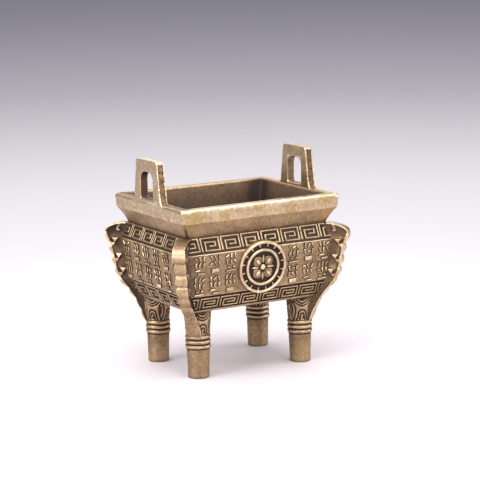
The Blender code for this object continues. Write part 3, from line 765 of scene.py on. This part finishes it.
roundels = start_mesh()
for wall in panels:
    if not wall.long_side:
        continue
    flat = start_mesh()
    profile = [(0, -ROUNDEL_ROOT, 0)]
    profile += ring_profile(ROUNDEL_RADIUS, ROUNDEL_RING_WIDTH, -ROUNDEL_ROOT, ROUNDEL_PROUD)
    profile += ring_profile(ROUNDEL_INNER_RADIUS, ROUNDEL_RING_WIDTH, ROUNDEL_GROUND, ROUNDEL_PROUD)
    profile += [(0.9, ROUNDEL_GROUND - 0.03, -0.05), (0, ROUNDEL_GROUND - 0.03, -0.05)]
    turn_profile(flat, profile, ROUNDEL_STEPS)
    channel = (ROUNDEL_RADIUS - ROUNDEL_RING_WIDTH + ROUNDEL_INNER_RADIUS) / 2
    shown = wall.side in SHOWN_SIDES
    for i in range(TICKS if shown else 0):
        angle = math.tau * (i + 0.5) / TICKS
        inner, outer = channel - 0.08, ROUNDEL_RADIUS - ROUNDEL_RING_WIDTH * 0.8
        path = [(r * math.cos(angle), r * math.sin(angle)) for r in (inner, outer)]
        raise_outline(flat, ribbon(path, (0.13, 0.22)), 0.18, 0.04, 0.05, 0.85, ROUNDEL_GROUND)
    for i in range(ROSETTE_PETALS):
        angle = math.tau * (i + 0.5) / ROSETTE_PETALS
        petal = petal_outline(angle, BOSS_RADIUS * 1.3, ROSETTE_REACH, PETAL_WIDTH)
        raise_outline(flat, petal, 0.2, 0.08, -0.1, 0.52, ROUNDEL_GROUND)
        if not shown:
            continue
        vein = petal_outline(angle, BOSS_RADIUS * 1.9, ROSETTE_REACH - 0.35, PETAL_WIDTH * 0.3)
        raise_outline(flat, vein, 0.3, 0.05, 0.1, 0.95, ROUNDEL_GROUND)
        sepal = petal_outline(angle + math.pi / ROSETTE_PETALS, BOSS_RADIUS * 1.4, SEPAL_REACH, SEPAL_WIDTH)
        raise_outline(flat, sepal, 0.18, 0.05, -0.1, 0.84, ROUNDEL_GROUND)
    raise_outline(flat, circle_outline((0, 0), BOSS_RADIUS, 12), 0.26, 0.1, 0.05, 1.0, ROUNDEL_GROUND)
    bmesh.ops.translate(flat, vec=(0, wall.height / 2 + ROUNDEL_LIFT, 0), verts=flat.verts)
    wall.lay(roundels, flat)
finish_piece("roundels", roundels, 40)


# A flange stands out on each corner from the neck down to the leg's rings: a plate with a
# rounded crest, a thicker scalloped edge, small hooks on that edge and a bump beside each hook.
EDGE_THICKNESS = 1.5
EDGE_WIDTH = 0.17
NOSE_REACH = 1.68
SHOULDER_REACH = 0.9
PANEL_REACH = 0.82
FOOT_REACH = 0.38
FLANGE_ROOT = 0.8
CREST_STEPS = 8
SCALLOP_PITCH = 1.6
SCALLOP_DEPTH = 0.21
SCALLOP_STEPS = 6
HOOK_HEIGHTS = (16.85, 14.6, 12.55)
HOOK_LENGTH = 0.34
BUMP_ABOVE_HOOK = 0.72
BUMP_AWAY = 0.34
BUMP_THICKNESS = 1.54
POCKET_RADIUS = 0.68
POCKET_SINK = 0.1
NEAR_FLANGE_LEAN = 0.36
NOSE_HIGHLIGHT_HEIGHT = 18.5
PLATE_PAINTED_LIGHT = {(1, -1): 0.21, (-1, 1): 0.02}
FLANGE_VOXEL = 0.06
FLANGE_KEPT_FACES = 0.3
LEG_TOP_RADIUS = 1.97
LEG_RING_RADIUS = 1.77
LEG_Y = UNDERSIDE_DEPTH - LEG_TOP_RADIUS - 0.05
LEG_X = LEG_Y + LENGTH_OVER_DEPTH
GROOVE_DEPTH = 0.2
RING_START = 4.14
RING_PITCH = 0.67
RING_COUNT = 3
GROOVE_WIDTH = 0.2
RING_TOP = RING_START + RING_COUNT * RING_PITCH - GROOVE_WIDTH / 2


def leg_face(z):
    """How far out the leg reaches in the flange's plane, measured like the half depth."""
    share = (z - RING_START) / (UNDERSIDE - RING_START)
    return LEG_Y + (LEG_RING_RADIUS + (LEG_TOP_RADIUS - LEG_RING_RADIUS) * share) / math.sqrt(2)


def crest(inset=0.0):
    """The flange's rounded top from the neck out to the nose, as (half depth, height)."""
    nose_z = PANEL_HEAD + UPPER_BAND_RISE * 0.4
    reach = half_depth(nose_z) + NOSE_REACH - NECK_DEPTH
    quarter = [math.pi / 2 * i / CREST_STEPS for i in range(CREST_STEPS + 1)]
    return [
        (NECK_DEPTH + (reach - inset) * math.sin(a), nose_z + (NECK - nose_z - inset) * math.cos(a))
        for a in quarter
    ]


def edge_course():
    """The line that the scallops follow, from the nose down to the leg's top ring."""
    shoulder = PANEL_HEAD - PANEL_RISE * 0.2
    waist = PANEL_HEAD - PANEL_RISE * 0.75
    knee = (UNDERSIDE + RING_TOP) / 2
    return [
        crest()[-1],
        (half_depth(shoulder) + SHOULDER_REACH, shoulder),
        (half_depth(waist) + PANEL_REACH, waist),
        (PANEL_FOOT_DEPTH + PANEL_REACH * 0.7, PANEL_FOOT),
        (UNDERSIDE_DEPTH + FOOT_REACH, UNDERSIDE),
        (leg_face(knee) + FOOT_REACH, knee),
        (leg_face(RING_TOP) - GROOVE_DEPTH / 2, RING_TOP),
    ]


def scallop(course):
    """Follow straight runs and swell outward between evenly spaced notches."""
    runs = [Vector(b) - Vector(a) for a, b in zip(course, course[1:])]
    total = sum(run.length for run in runs)
    count = round(total / SCALLOP_PITCH)
    points = []
    for i in range(count * SCALLOP_STEPS + 1):
        left = total * i / (count * SCALLOP_STEPS)
        for start, run in zip(course, runs):
            if left <= run.length or run is runs[-1]:
                break
            left -= run.length
        place = Vector(start) + run.normalized() * left
        fade = min(1, max(0.25, (place.y - UNDERSIDE + 2) / 4))
        outward = Vector((-run.y, run.x)).normalized()
        place += outward * SCALLOP_DEPTH * fade * abs(math.sin(math.pi * i / SCALLOP_STEPS))
        points.append((place.x, place.y))
    return points


def edge_at(course, z):
    """The course's half depth at a height."""
    for (d0, z0), (d1, z1) in zip(course, course[1:]):
        if z1 <= z <= z0:
            return d0 + (d1 - d0) * (z - z0) / (z1 - z0)
    return course[-1][0]


def slab(builder, outline, thickness):
    """A closed slab in the plane of the flange: points are (half depth, height)."""
    face = builder.faces.new([builder.verts.new((d * math.sqrt(2), -thickness / 2, z)) for d, z in outline])
    swept = bmesh.ops.extrude_face_region(builder, geom=[face], use_keep_orig=True)
    moved = [item for item in swept["geom"] if isinstance(item, bmesh.types.BMVert)]
    bmesh.ops.translate(builder, verts=moved, vec=(0, thickness, 0))


def cast_soft(builder, voxel, smoothing, kept_faces):
    """Fuse overlapping solids into one skin with soft edges, as a worn mould gives."""
    bmesh.ops.recalc_face_normals(builder, faces=builder.faces)
    mesh = set_aside(builder, "casting")
    rough = bpy.data.objects.new("casting", mesh)
    bpy.context.collection.objects.link(rough)
    remesh = rough.modifiers.new("fuse", "REMESH")
    remesh.mode = "VOXEL"
    remesh.voxel_size = voxel
    soften = rough.modifiers.new("soften", "SMOOTH")
    soften.factor = 0.5
    soften.iterations = smoothing
    thin_out = rough.modifiers.new("thin out", "DECIMATE")
    thin_out.ratio = kept_faces
    fused = bpy.data.meshes.new_from_object(rough.evaluated_get(bpy.context.evaluated_depsgraph_get()))
    bpy.data.objects.remove(rough)
    bpy.data.meshes.remove(mesh)
    skin = copy_of(fused)
    bpy.data.meshes.remove(fused)
    return skin


def wear_and_light_from_shape(builder, base, passes, gain):
    """Set the wear number from a base, which can hold painted shade, and by how far each vertex
    stands proud of its smoothed surroundings.
    """
    layer = builder.verts.layers.float["wear_and_painted_light"]
    before = [vert.co.copy() for vert in builder.verts]
    for _ in range(passes):
        bmesh.ops.smooth_vert(
            builder, verts=builder.verts, factor=0.5, use_axis_x=True, use_axis_y=True, use_axis_z=True,
        )
    builder.normal_update()
    for vert, place in zip(builder.verts, before):
        proud = (place - vert.co).dot(vert.normal)
        vert[layer] = min(1, max(0, base(place) + proud * gain))
        vert.co = place
    builder.normal_update()


def thickening(z):
    """The flange is fuller at its nose, at its foot and in the middle of each scallop."""
    nose = min(1, max(0, (z - 17.0) / 1.6))
    foot = min(1, max(0, (10.5 - z) / 3.5))
    bulge = 0.5
    for high, low in zip(notches, notches[1:]):
        if low <= z <= high:
            bulge = math.sin(math.pi * (z - low) / (high - low))
    return 0.91 + 0.2 * nose + 0.32 * foot + 0.18 * bulge * (1 - foot * 0.6)


course = edge_course()
notches = [z for depth, z in scallop(course)[::SCALLOP_STEPS]]
flange = start_mesh()
outer = crest() + scallop(course)[1:]
inner = crest(EDGE_WIDTH) + [(depth - EDGE_WIDTH, z) for depth, z in course[1:]]
slab(flange, outer + inner[::-1], EDGE_THICKNESS)
tuck = EDGE_WIDTH / 2
plate = crest(tuck) + [(depth - tuck, z) for depth, z in course[1:]]
plate += [(LEG_Y, course[-1][1]), (LEG_Y, UNDERSIDE + ROOT)]
plate += [(half_depth(z) - FLANGE_ROOT, z) for z in (PANEL_FOOT, PANEL_HEAD, NECK - tuck)]
slab(flange, plate, FLANGE_PLATE_THICKNESS)
pockets = []
for z in HOOK_HEIGHTS:
    d = edge_at(course, z) - EDGE_WIDTH
    hook = [(d + 0.12, z + 0.34), (d - HOOK_LENGTH, z + 0.26)]
    hook += [(d - HOOK_LENGTH * 0.8, z - 0.02), (d + 0.12, z - 0.34)]
    slab(flange, hook, EDGE_THICKNESS - 0.06)
    pockets.append((d - 0.3, z + 0.45))
    d, z = d - BUMP_AWAY, z + BUMP_ABOVE_HOOK
    slab(flange, [(d - 0.36, z + 0.24), (d + 0.3, z + 0.3), (d - 0.02, z - 0.4)], BUMP_THICKNESS)
top_hook = (NECK_DEPTH + 0.85, NECK - 0.95)
pockets.append((top_hook[0] - 0.1, top_hook[1] - 0.25))
pockets.append((top_hook[0] + 0.75, top_hook[1] + 0.05))
top_curl = [(-0.3, 0.6), (-0.02, 0.7), (0.22, -0.1), (-0.02, -0.3), (-0.3, -0.1), (-0.02, 0.02)]
slab(flange, [(top_hook[0] + d, top_hook[1] + z) for d, z in top_curl], EDGE_THICKNESS - 0.1)
flange = cast_soft(flange, FLANGE_VOXEL, 4, FLANGE_KEPT_FACES)


def pocket_share(place):
    """How far a place on the plate lies in one of the small sunk pockets, from 0 to 1."""
    d = place.x / math.sqrt(2)
    near = min(math.hypot(d - pd, place.z - pz) for pd, pz in pockets)
    low = 1 - min(1, max(0, (abs(place.y) - FLANGE_PLATE_THICKNESS / 2) / 0.06))
    on_side = 1 if abs(place.y) > FLANGE_PLATE_THICKNESS / 2 - 0.12 else 0
    return low * on_side * min(1, max(0, (POCKET_RADIUS - near) / 0.15))


def flange_wear_and_shade(place):
    """The plate is dull and darker towards its foot, above the panel and inside its edge, with painted
    shade where it meets the body; its pockets are dark, and the thicker edge is rubbed bright.
    """
    proud = (abs(place.y) - FLANGE_PLATE_THICKNESS / 2) / (EDGE_THICKNESS / 2 - FLANGE_PLATE_THICKNESS / 2)
    depth = place.x / math.sqrt(2)
    dull_and_shade = 0.3 - 0.16 * min(1, max(0, (UNDERSIDE + 2.4 - place.z) / 1.2))
    # Painted shade where the plate meets the body.
    dull_and_shade -= 0.2 * math.exp(-(max(0, depth - half_depth(place.z)) / 0.25) ** 2)
    nose_z = course[0][1]
    if place.z < nose_z:
        edge = depth - edge_at(course, place.z)
    else:
        across = (depth - NECK_DEPTH) / (course[0][0] - NECK_DEPTH)
        edge = (math.hypot(across, (place.z - nose_z) / (NECK - nose_z)) - 1) * (NECK - nose_z)
    dull_and_shade -= 0.26 * math.exp(-((edge + EDGE_WIDTH) / 0.2) ** 2)
    dull_and_shade -= 0.14 * min(1, max(0, (place.z - PANEL_HEAD) / 0.5))
    side = dull_and_shade + (0.8 - dull_and_shade) * min(1, max(0, proud))
    rim = 0.72 - 0.12 * min(1, max(0, (PANEL_FOOT - place.z) / 3)) if edge > -0.12 else 0
    return max(side, rim) - 0.13 * pocket_share(place)


for vert in flange.verts:
    share = pocket_share(vert.co)
    vert.co.y -= math.copysign(POCKET_SINK * share, vert.co.y)
    vert.co += noise.noise_vector(vert.co * 0.7) * 0.06
wear_and_light_from_shape(flange, flange_wear_and_shade, 16, 2.6)
for vert in flange.verts:
    vert.co.y *= thickening(vert.co.z)
kept = set_aside(flange, "flange")
flanges = start_mesh()
for sx, sy in ((1, 1), (-1, 1), (-1, -1), (1, -1)):
    one = copy_of(kept)
    wear_and_light_layer = one.verts.layers.float["wear_and_painted_light"]
    # Painted light: the plates of some flange copies are painted lighter than the others.
    for vert in one.verts:
        if vert[wear_and_light_layer] < 0.5:
            vert[wear_and_light_layer] += PLATE_PAINTED_LIGHT.get((sx, sy), 0)
    if (sx, sy) == (-1, -1):
        # Painted light on the near flange: a painted highlight round the nose, a painted dark reflection on
        # the crest above it, and the whole copy painted a little darker.
        for vert in one.verts:
            painted_highlight = 0.46 * math.exp(-((vert.co.z - NOSE_HIGHLIGHT_HEIGHT) / 0.42) ** 2)
            painted_dark_reflection = 0.22 * min(1, max(0, (vert.co.z - NOSE_HIGHLIGHT_HEIGHT - 0.6) / 0.5))
            vert[wear_and_light_layer] += painted_highlight - painted_dark_reflection - 0.07
            vert.co.y -= NEAR_FLANGE_LEAN * min(1, max(0, (vert.co.z - 7) / 4))
    turn_upright(one, math.atan2(sy, sx))
    bmesh.ops.translate(one, vec=(sx * LENGTH_OVER_DEPTH, 0, 0), verts=one.verts)
    add_shape(flanges, one)
bpy.data.meshes.remove(kept)
finish_piece("flanges", flanges, 60)


# Four round legs, cast solid with the bowl: a plain column, turned rings with dark grooves, and
# above them a stouter part whose broad scrollwork is drawn by narrow dark grooves.
LEG_FOOT_RADIUS = 1.48
LEG_COLUMN_RADIUS = 1.6
LEG_STEPS = 56
SCROLL_REPEATS = 4
SCROLL_GROOVE_HALF = 0.14
SCROLL_GROOVE_DEPTH = 0.16
SCROLL_GRID = 0.075
SCROLL_STARTS = {(-1, -1): -5, (1, -1): -19, (-1, 1): -54, (1, 1): 20}


def upper_leg_radius(z):
    share = (z - RING_TOP) / (UNDERSIDE - RING_TOP)
    low_radius = LEG_RING_RADIUS - GROOVE_DEPTH / 2
    return low_radius + (LEG_TOP_RADIUS - 0.02 - low_radius) * share


def bow(centre, radius, start, end, steps=12):
    angles = [math.radians(start + (end - start) * i / steps) for i in range(steps + 1)]
    return [(centre[0] + radius * math.cos(a), centre[1] + radius * math.sin(a)) for a in angles]


def scroll_grooves():
    """One repeat of the scrollwork, as (along the girth, height) lines."""
    top, foot = UNDERSIDE, RING_TOP
    arch = foot + 0.98
    return [
        bow((0, top + 0.1), 1.4, 180, 360),
        bow((0, top + 0.1), 1.02, 180, 360),
        bow((0, top + 0.1), 0.62, 180, 360, 8),
        bow((0, top), 0.24, 180, 360, 6),
        [(-0.98, foot + 0.18), (-0.78, foot + 0.5)]
        + bow((0, arch), 0.68, 165, 15)
        + [(0.78, foot + 0.5), (0.98, foot + 0.18)],
        [(-0.4, foot + 0.22), (-0.34, arch - 0.25)]
        + bow((0, arch - 0.12), 0.3, 170, -20, 8)
        + [(0.1, foot + 0.45)],
        [(0.46, foot + 0.25), (0.36, arch - 0.4)],
        [(1.47, top - 0.7), (1.2, top - 1.35), (1.08, top - 1.9), (1.2, top - 2.6), (1.47, foot + 0.2)],
        [(-1.47, top - 0.7), (-1.2, top - 1.35), (-1.08, top - 1.9), (-1.2, top - 2.6), (-1.47, foot + 0.2)],
        [(1.47, top - 1.45), (1.42, top - 2.4)],
    ]


def groove_share(girth, z, lines):
    """How deep a place lies in the nearest scroll groove, from 0 to 1."""
    place = Vector((girth, z))
    nearest = SCROLL_GROOVE_HALF
    for first, second in lines:
        run = second - first
        share = min(1, max(0, (place - first).dot(run) / run.length_squared))
        nearest = min(nearest, (first + run * share - place).length)
    return 1 - (nearest / SCROLL_GROOVE_HALF) ** 2


leg = start_mesh()
profile = [(0, 0, 0.3), (LEG_FOOT_RADIUS - 0.12, 0, 0.45), (LEG_FOOT_RADIUS, 0.1, 0.62)]
# Painted shade: the plain column is painted darker towards its rings, under the body.
for share, wear_and_painted_light in ((0.3, 0.57), (0.6, 0.52), (0.9, 0.44)):
    radius = LEG_FOOT_RADIUS + (LEG_COLUMN_RADIUS - LEG_FOOT_RADIUS) * share
    profile.append((radius, RING_START * share, wear_and_painted_light))
for ring in range(RING_COUNT):
    groove = RING_START + ring * RING_PITCH
    if not ring:
        profile.append((LEG_COLUMN_RADIUS - 0.02, groove - GROOVE_WIDTH * 0.55, 0.4))
    profile += [
        (LEG_RING_RADIUS - GROOVE_DEPTH - 0.02, groove - GROOVE_WIDTH * 0.25, -0.2),
        (LEG_RING_RADIUS - GROOVE_DEPTH - 0.02, groove + GROOVE_WIDTH * 0.25, -0.2),
        (LEG_RING_RADIUS - 0.07, groove + GROOVE_WIDTH * 0.6, 0.55),
        (LEG_RING_RADIUS, groove + RING_PITCH * 0.38, 0.7),
        (LEG_RING_RADIUS, groove + RING_PITCH * 0.62, 0.7),
        (LEG_RING_RADIUS - 0.07, groove + RING_PITCH - GROOVE_WIDTH * 0.6, 0.55),
    ]
column_top = RING_TOP + GROOVE_WIDTH / 2
profile += [(LEG_RING_RADIUS - GROOVE_DEPTH, column_top, -0.2), (0, column_top, 0)]
turn_profile(leg, profile, LEG_STEPS)
sleeve = start_mesh()
rows = round((UNDERSIDE + 0.3 - RING_TOP) / SCROLL_GRID)
heights = [RING_TOP + (UNDERSIDE + 0.3 - RING_TOP) * i / rows for i in range(rows + 1)]
profile = [(0, RING_TOP, 0)] + [(upper_leg_radius(z), z, 0.7) for z in heights] + [(0, heights[-1], 0)]
turn_profile(sleeve, profile, round(math.tau * LEG_TOP_RADIUS / SCROLL_GRID))
pitch = math.tau * LEG_TOP_RADIUS / SCROLL_REPEATS
paths = [[Vector(point) for point in path] for path in scroll_grooves()]
lines = [pair for path in paths for pair in zip(path, path[1:])]
wear_and_light_layer = sleeve.verts.layers.float["wear_and_painted_light"]
for vert in sleeve.verts:
    reach = math.hypot(vert.co.x, vert.co.y)
    if reach < 1:
        continue
    girth = math.atan2(vert.co.y, vert.co.x) * LEG_TOP_RADIUS
    girth = (girth + pitch / 2) % pitch - pitch / 2
    sunk = groove_share(girth, vert.co.z, lines)
    foot = max(0, 1 - (vert.co.z - RING_TOP) / 0.15)
    scale = 1 - max(SCROLL_GROOVE_DEPTH * sunk, 0.12 * foot) / reach
    vert.co.x *= scale
    vert.co.y *= scale
    vert[wear_and_light_layer] = 0.62 - 0.8 * max(sunk, foot)
for part in (leg, sleeve):
    bmesh.ops.recalc_face_normals(part, faces=part.faces)
add_shape(leg, sleeve)
kept = set_aside(leg, "leg")
legs = start_mesh()
for (sx, sy), start in SCROLL_STARTS.items():
    one = copy_of(kept)
    turn_upright(one, math.radians(start - 90))
    for vert in one.verts:
        vert.co += noise.noise_vector(vert.co * 0.6 + Vector((sx, sy, 0)) * 5) * 0.045
        vert.co.z = max(0, vert.co.z)
    bmesh.ops.translate(one, vec=(sx * LEG_X, sy * LEG_Y, 0), verts=one.verts)
    add_shape(legs, one)
bpy.data.meshes.remove(kept)
finish_piece("legs", legs, 45)


# Two upright ears stand on the short sides, flush with the rim: tapering plates with an arched
# hole, rounded by wear, their narrow side faces left rough and pitted from the mould.
EAR_TOP = cad_high.z / MM
EAR_THICKNESS = 1.2
EAR_HALF_WIDTH_AT_RIM = 3.82
EAR_HALF_WIDTH_AT_TOP = 2.95
EAR_CORNER_RADIUS = 0.45
EAR_TOP_BAR = 1.6
HOLE_HALF_WIDTH = 1.8
HOLE_SILL = 0.35
HOLE_CORNER_RADIUS = 1.2
EAR_VOXEL = 0.09
EAR_KEPT_FACES = 0.5
EAR_FACE_WEAR = 0.84
EAR_SIDE_WEAR = 0.36
EAR_HOLE_WEAR = 0.2

foot = RIM_TOP - RIM_RISE / 2
lean = (EAR_HALF_WIDTH_AT_RIM - EAR_HALF_WIDTH_AT_TOP) / (EAR_TOP - RIM_TOP)
corner_y = EAR_HALF_WIDTH_AT_TOP - EAR_CORNER_RADIUS * (1 - lean)
half = [(EAR_HALF_WIDTH_AT_RIM + 0.5, foot), (EAR_HALF_WIDTH_AT_RIM + 0.42, RIM_TOP - 0.08)]
half += [(EAR_HALF_WIDTH_AT_RIM + 0.1, RIM_TOP + 0.12), (EAR_HALF_WIDTH_AT_RIM - 0.09, RIM_TOP + 0.5)]
half += bow((corner_y, EAR_TOP - EAR_CORNER_RADIUS), EAR_CORNER_RADIUS, 0, 90, 5)
outline = half + [(-y, z) for y, z in reversed(half)]
hole_top = EAR_TOP - EAR_TOP_BAR
arch = [(HOLE_HALF_WIDTH, RIM_TOP + HOLE_SILL)]
corner = (HOLE_HALF_WIDTH - HOLE_CORNER_RADIUS, hole_top - HOLE_CORNER_RADIUS)
arch += bow(corner, HOLE_CORNER_RADIUS, 0, 90, 5)
hole = arch + [(-y, z) for y, z in reversed(arch)]
ear = start_mesh()
loops = []
for points in (outline, hole):
    verts = [ear.verts.new((0, y, z)) for y, z in points]
    loops += [ear.edges.new((verts[i - 1], verts[i])) for i in range(len(verts))]
bmesh.ops.bridge_loops(ear, edges=loops)
swept = bmesh.ops.extrude_face_region(ear, geom=ear.faces[:], use_keep_orig=True)
moved = [item for item in swept["geom"] if isinstance(item, bmesh.types.BMVert)]
bmesh.ops.translate(ear, verts=moved, vec=(-EAR_THICKNESS, 0, 0))
ear = cast_soft(ear, EAR_VOXEL, 7, EAR_KEPT_FACES)


def by_hole(place):
    """Whether a place on the ear is within the height and width of its hole."""
    return abs(place.y) < HOLE_HALF_WIDTH + 0.1 and RIM_TOP < place.z < hole_top + 0.1


def ear_wear(place):
    """The narrow side faces and the hole are dull in their middle, and the rest is satin."""
    on_side = abs(place.y) > EAR_HALF_WIDTH_AT_TOP - 0.25 + (EAR_TOP - place.z) * lean
    across = abs(place.x + EAR_THICKNESS / 2)
    if by_hole(place) and across < EAR_THICKNESS / 2 - 0.12:
        return EAR_HOLE_WEAR
    return EAR_SIDE_WEAR if on_side and across < 0.43 and place.z < EAR_TOP - 0.42 else EAR_FACE_WEAR


for vert in ear.verts:
    pit = 0
    if ear_wear(vert.co) == EAR_SIDE_WEAR:
        pit = 0.07 + max(0, noise.noise(vert.co * 2.4)) * 0.26
    vert.co += noise.noise_vector(vert.co * 0.8) * 0.04 - Vector((0, math.copysign(pit, vert.co.y), 0))
wear_and_light_from_shape(ear, ear_wear, 6, 2.5)
kept = set_aside(ear, "ear")
ears = start_mesh()
for side in (-1, 1):
    one = copy_of(kept)
    wear_and_light_layer = one.verts.layers.float["wear_and_painted_light"]
    # Painted light: the two ears are lit and shaded copies. The right ear is painted lighter in its hole and
    # darker elsewhere, and the left ear a little lighter outside its hole.
    for vert in one.verts:
        if side > 0:
            vert[wear_and_light_layer] += 0.2 if by_hole(vert.co) else -0.11
        elif not by_hole(vert.co):
            vert[wear_and_light_layer] += 0.04
    turn_upright(one, 0 if side > 0 else math.pi)
    bmesh.ops.translate(one, vec=(side * (RIM_TOP_DEPTH + LENGTH_OVER_DEPTH - 0.01), 0, 0), verts=one.verts)
    add_shape(ears, one)
bpy.data.meshes.remove(kept)
finish_piece("ears", ears, 60)


# A pale studio floor with painted light: lightest and pinkish under the bowl, a painted lift of its
# shadow, and darkening to lavender grey with distance, a painted falloff of the light. A big soft
# light overhead, weaker ones from the left, the front, the right and behind, and a pale surround to reflect.
FLOOR_RADIUS = 3000
FLOOR_PAINTED_LIGHT = (
    (0, (0.530, 0.488, 0.514, 1)),
    (45, (0.480, 0.447, 0.471, 1)),
    (75, (0.412, 0.394, 0.418, 1)),
    (93, (0.387, 0.372, 0.395, 1)),
    (168, (0.361, 0.340, 0.364, 1)),
    (215, (0.331, 0.311, 0.336, 1)),
    (277, (0.290, 0.273, 0.295, 1)),
    (350, (0.242, 0.229, 0.255, 1)),
    (456, (0.222, 0.210, 0.246, 1)),
    (600, (0.202, 0.192, 0.239, 1)),
    (850, (0.179, 0.170, 0.227, 1)),
)

floor_builder = bmesh.new()
bmesh.ops.create_circle(floor_builder, cap_ends=True, segments=64, radius=FLOOR_RADIUS * MM)
floor_mesh = set_aside(floor_builder, "studio_floor")
floor = bpy.data.objects.new("studio_floor", floor_mesh)
bpy.context.collection.objects.link(floor)
paint = bpy.data.materials.new("studio_floor")
paint.use_nodes = True
tree = paint.node_tree
shader = tree.nodes["Principled BSDF"]
shader.inputs["Roughness"].default_value = 0.7
shader.inputs["Specular IOR Level"].default_value = 0.2
place = tree.nodes.new("ShaderNodeTexCoord").outputs["Object"]
away = add_node(tree, "ShaderNodeVectorMath", _0=place)
away.operation = "LENGTH"
farthest = FLOOR_PAINTED_LIGHT[-1][0]
painted_light_tones = [(distance / farthest, colour) for distance, colour in FLOOR_PAINTED_LIGHT]
# The floor's colour is painted light that fades with distance from the middle.
painted_light_tone = colour_ramp(tree, remap(tree, away.outputs["Value"], 0, farthest * MM), painted_light_tones)
tree.links.new(painted_light_tone, shader.inputs["Base Color"])
floor_mesh.materials.append(paint)
floor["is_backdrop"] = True


def soft_light(name, place, size, power, colour=(1, 1, 1)):
    """A square softbox aimed at the middle of the bowl."""
    light = bpy.data.lights.new(name, "AREA")
    light.shape = "SQUARE"
    light.size = size * MM
    light.energy = power
    light.color = colour
    lamp = bpy.data.objects.new(name, light)
    lamp.location = Vector(place) * MM
    aim = Vector((0, 0, 15)) - Vector(place)
    lamp.rotation_euler = aim.to_track_quat("-Z", "Y").to_euler()
    bpy.context.collection.objects.link(lamp)


soft_light("overhead_softbox", (-60, -50, 420), 880, 8.1)
soft_light("left_softbox", (-430, -60, 190), 260, 1.45, (1, 0.98, 0.95))
soft_light("front_softbox", (60, -480, 190), 260, 1.15, (1, 0.98, 0.95))
soft_light("right_softbox", (430, -200, 130), 220, 0.9, (1, 0.99, 0.97))
soft_light("far_softbox", (700, 1210, 450), 800, 2.2)
world = bpy.data.worlds.new("surround")
world.use_nodes = True
world.node_tree.nodes["Background"].inputs["Color"].default_value = (0.93, 0.92, 0.96, 1)
world.node_tree.nodes["Background"].inputs["Strength"].default_value = 0.36
bpy.context.scene.world = world
bpy.context.scene.view_settings.view_transform = "Standard"


low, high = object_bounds()
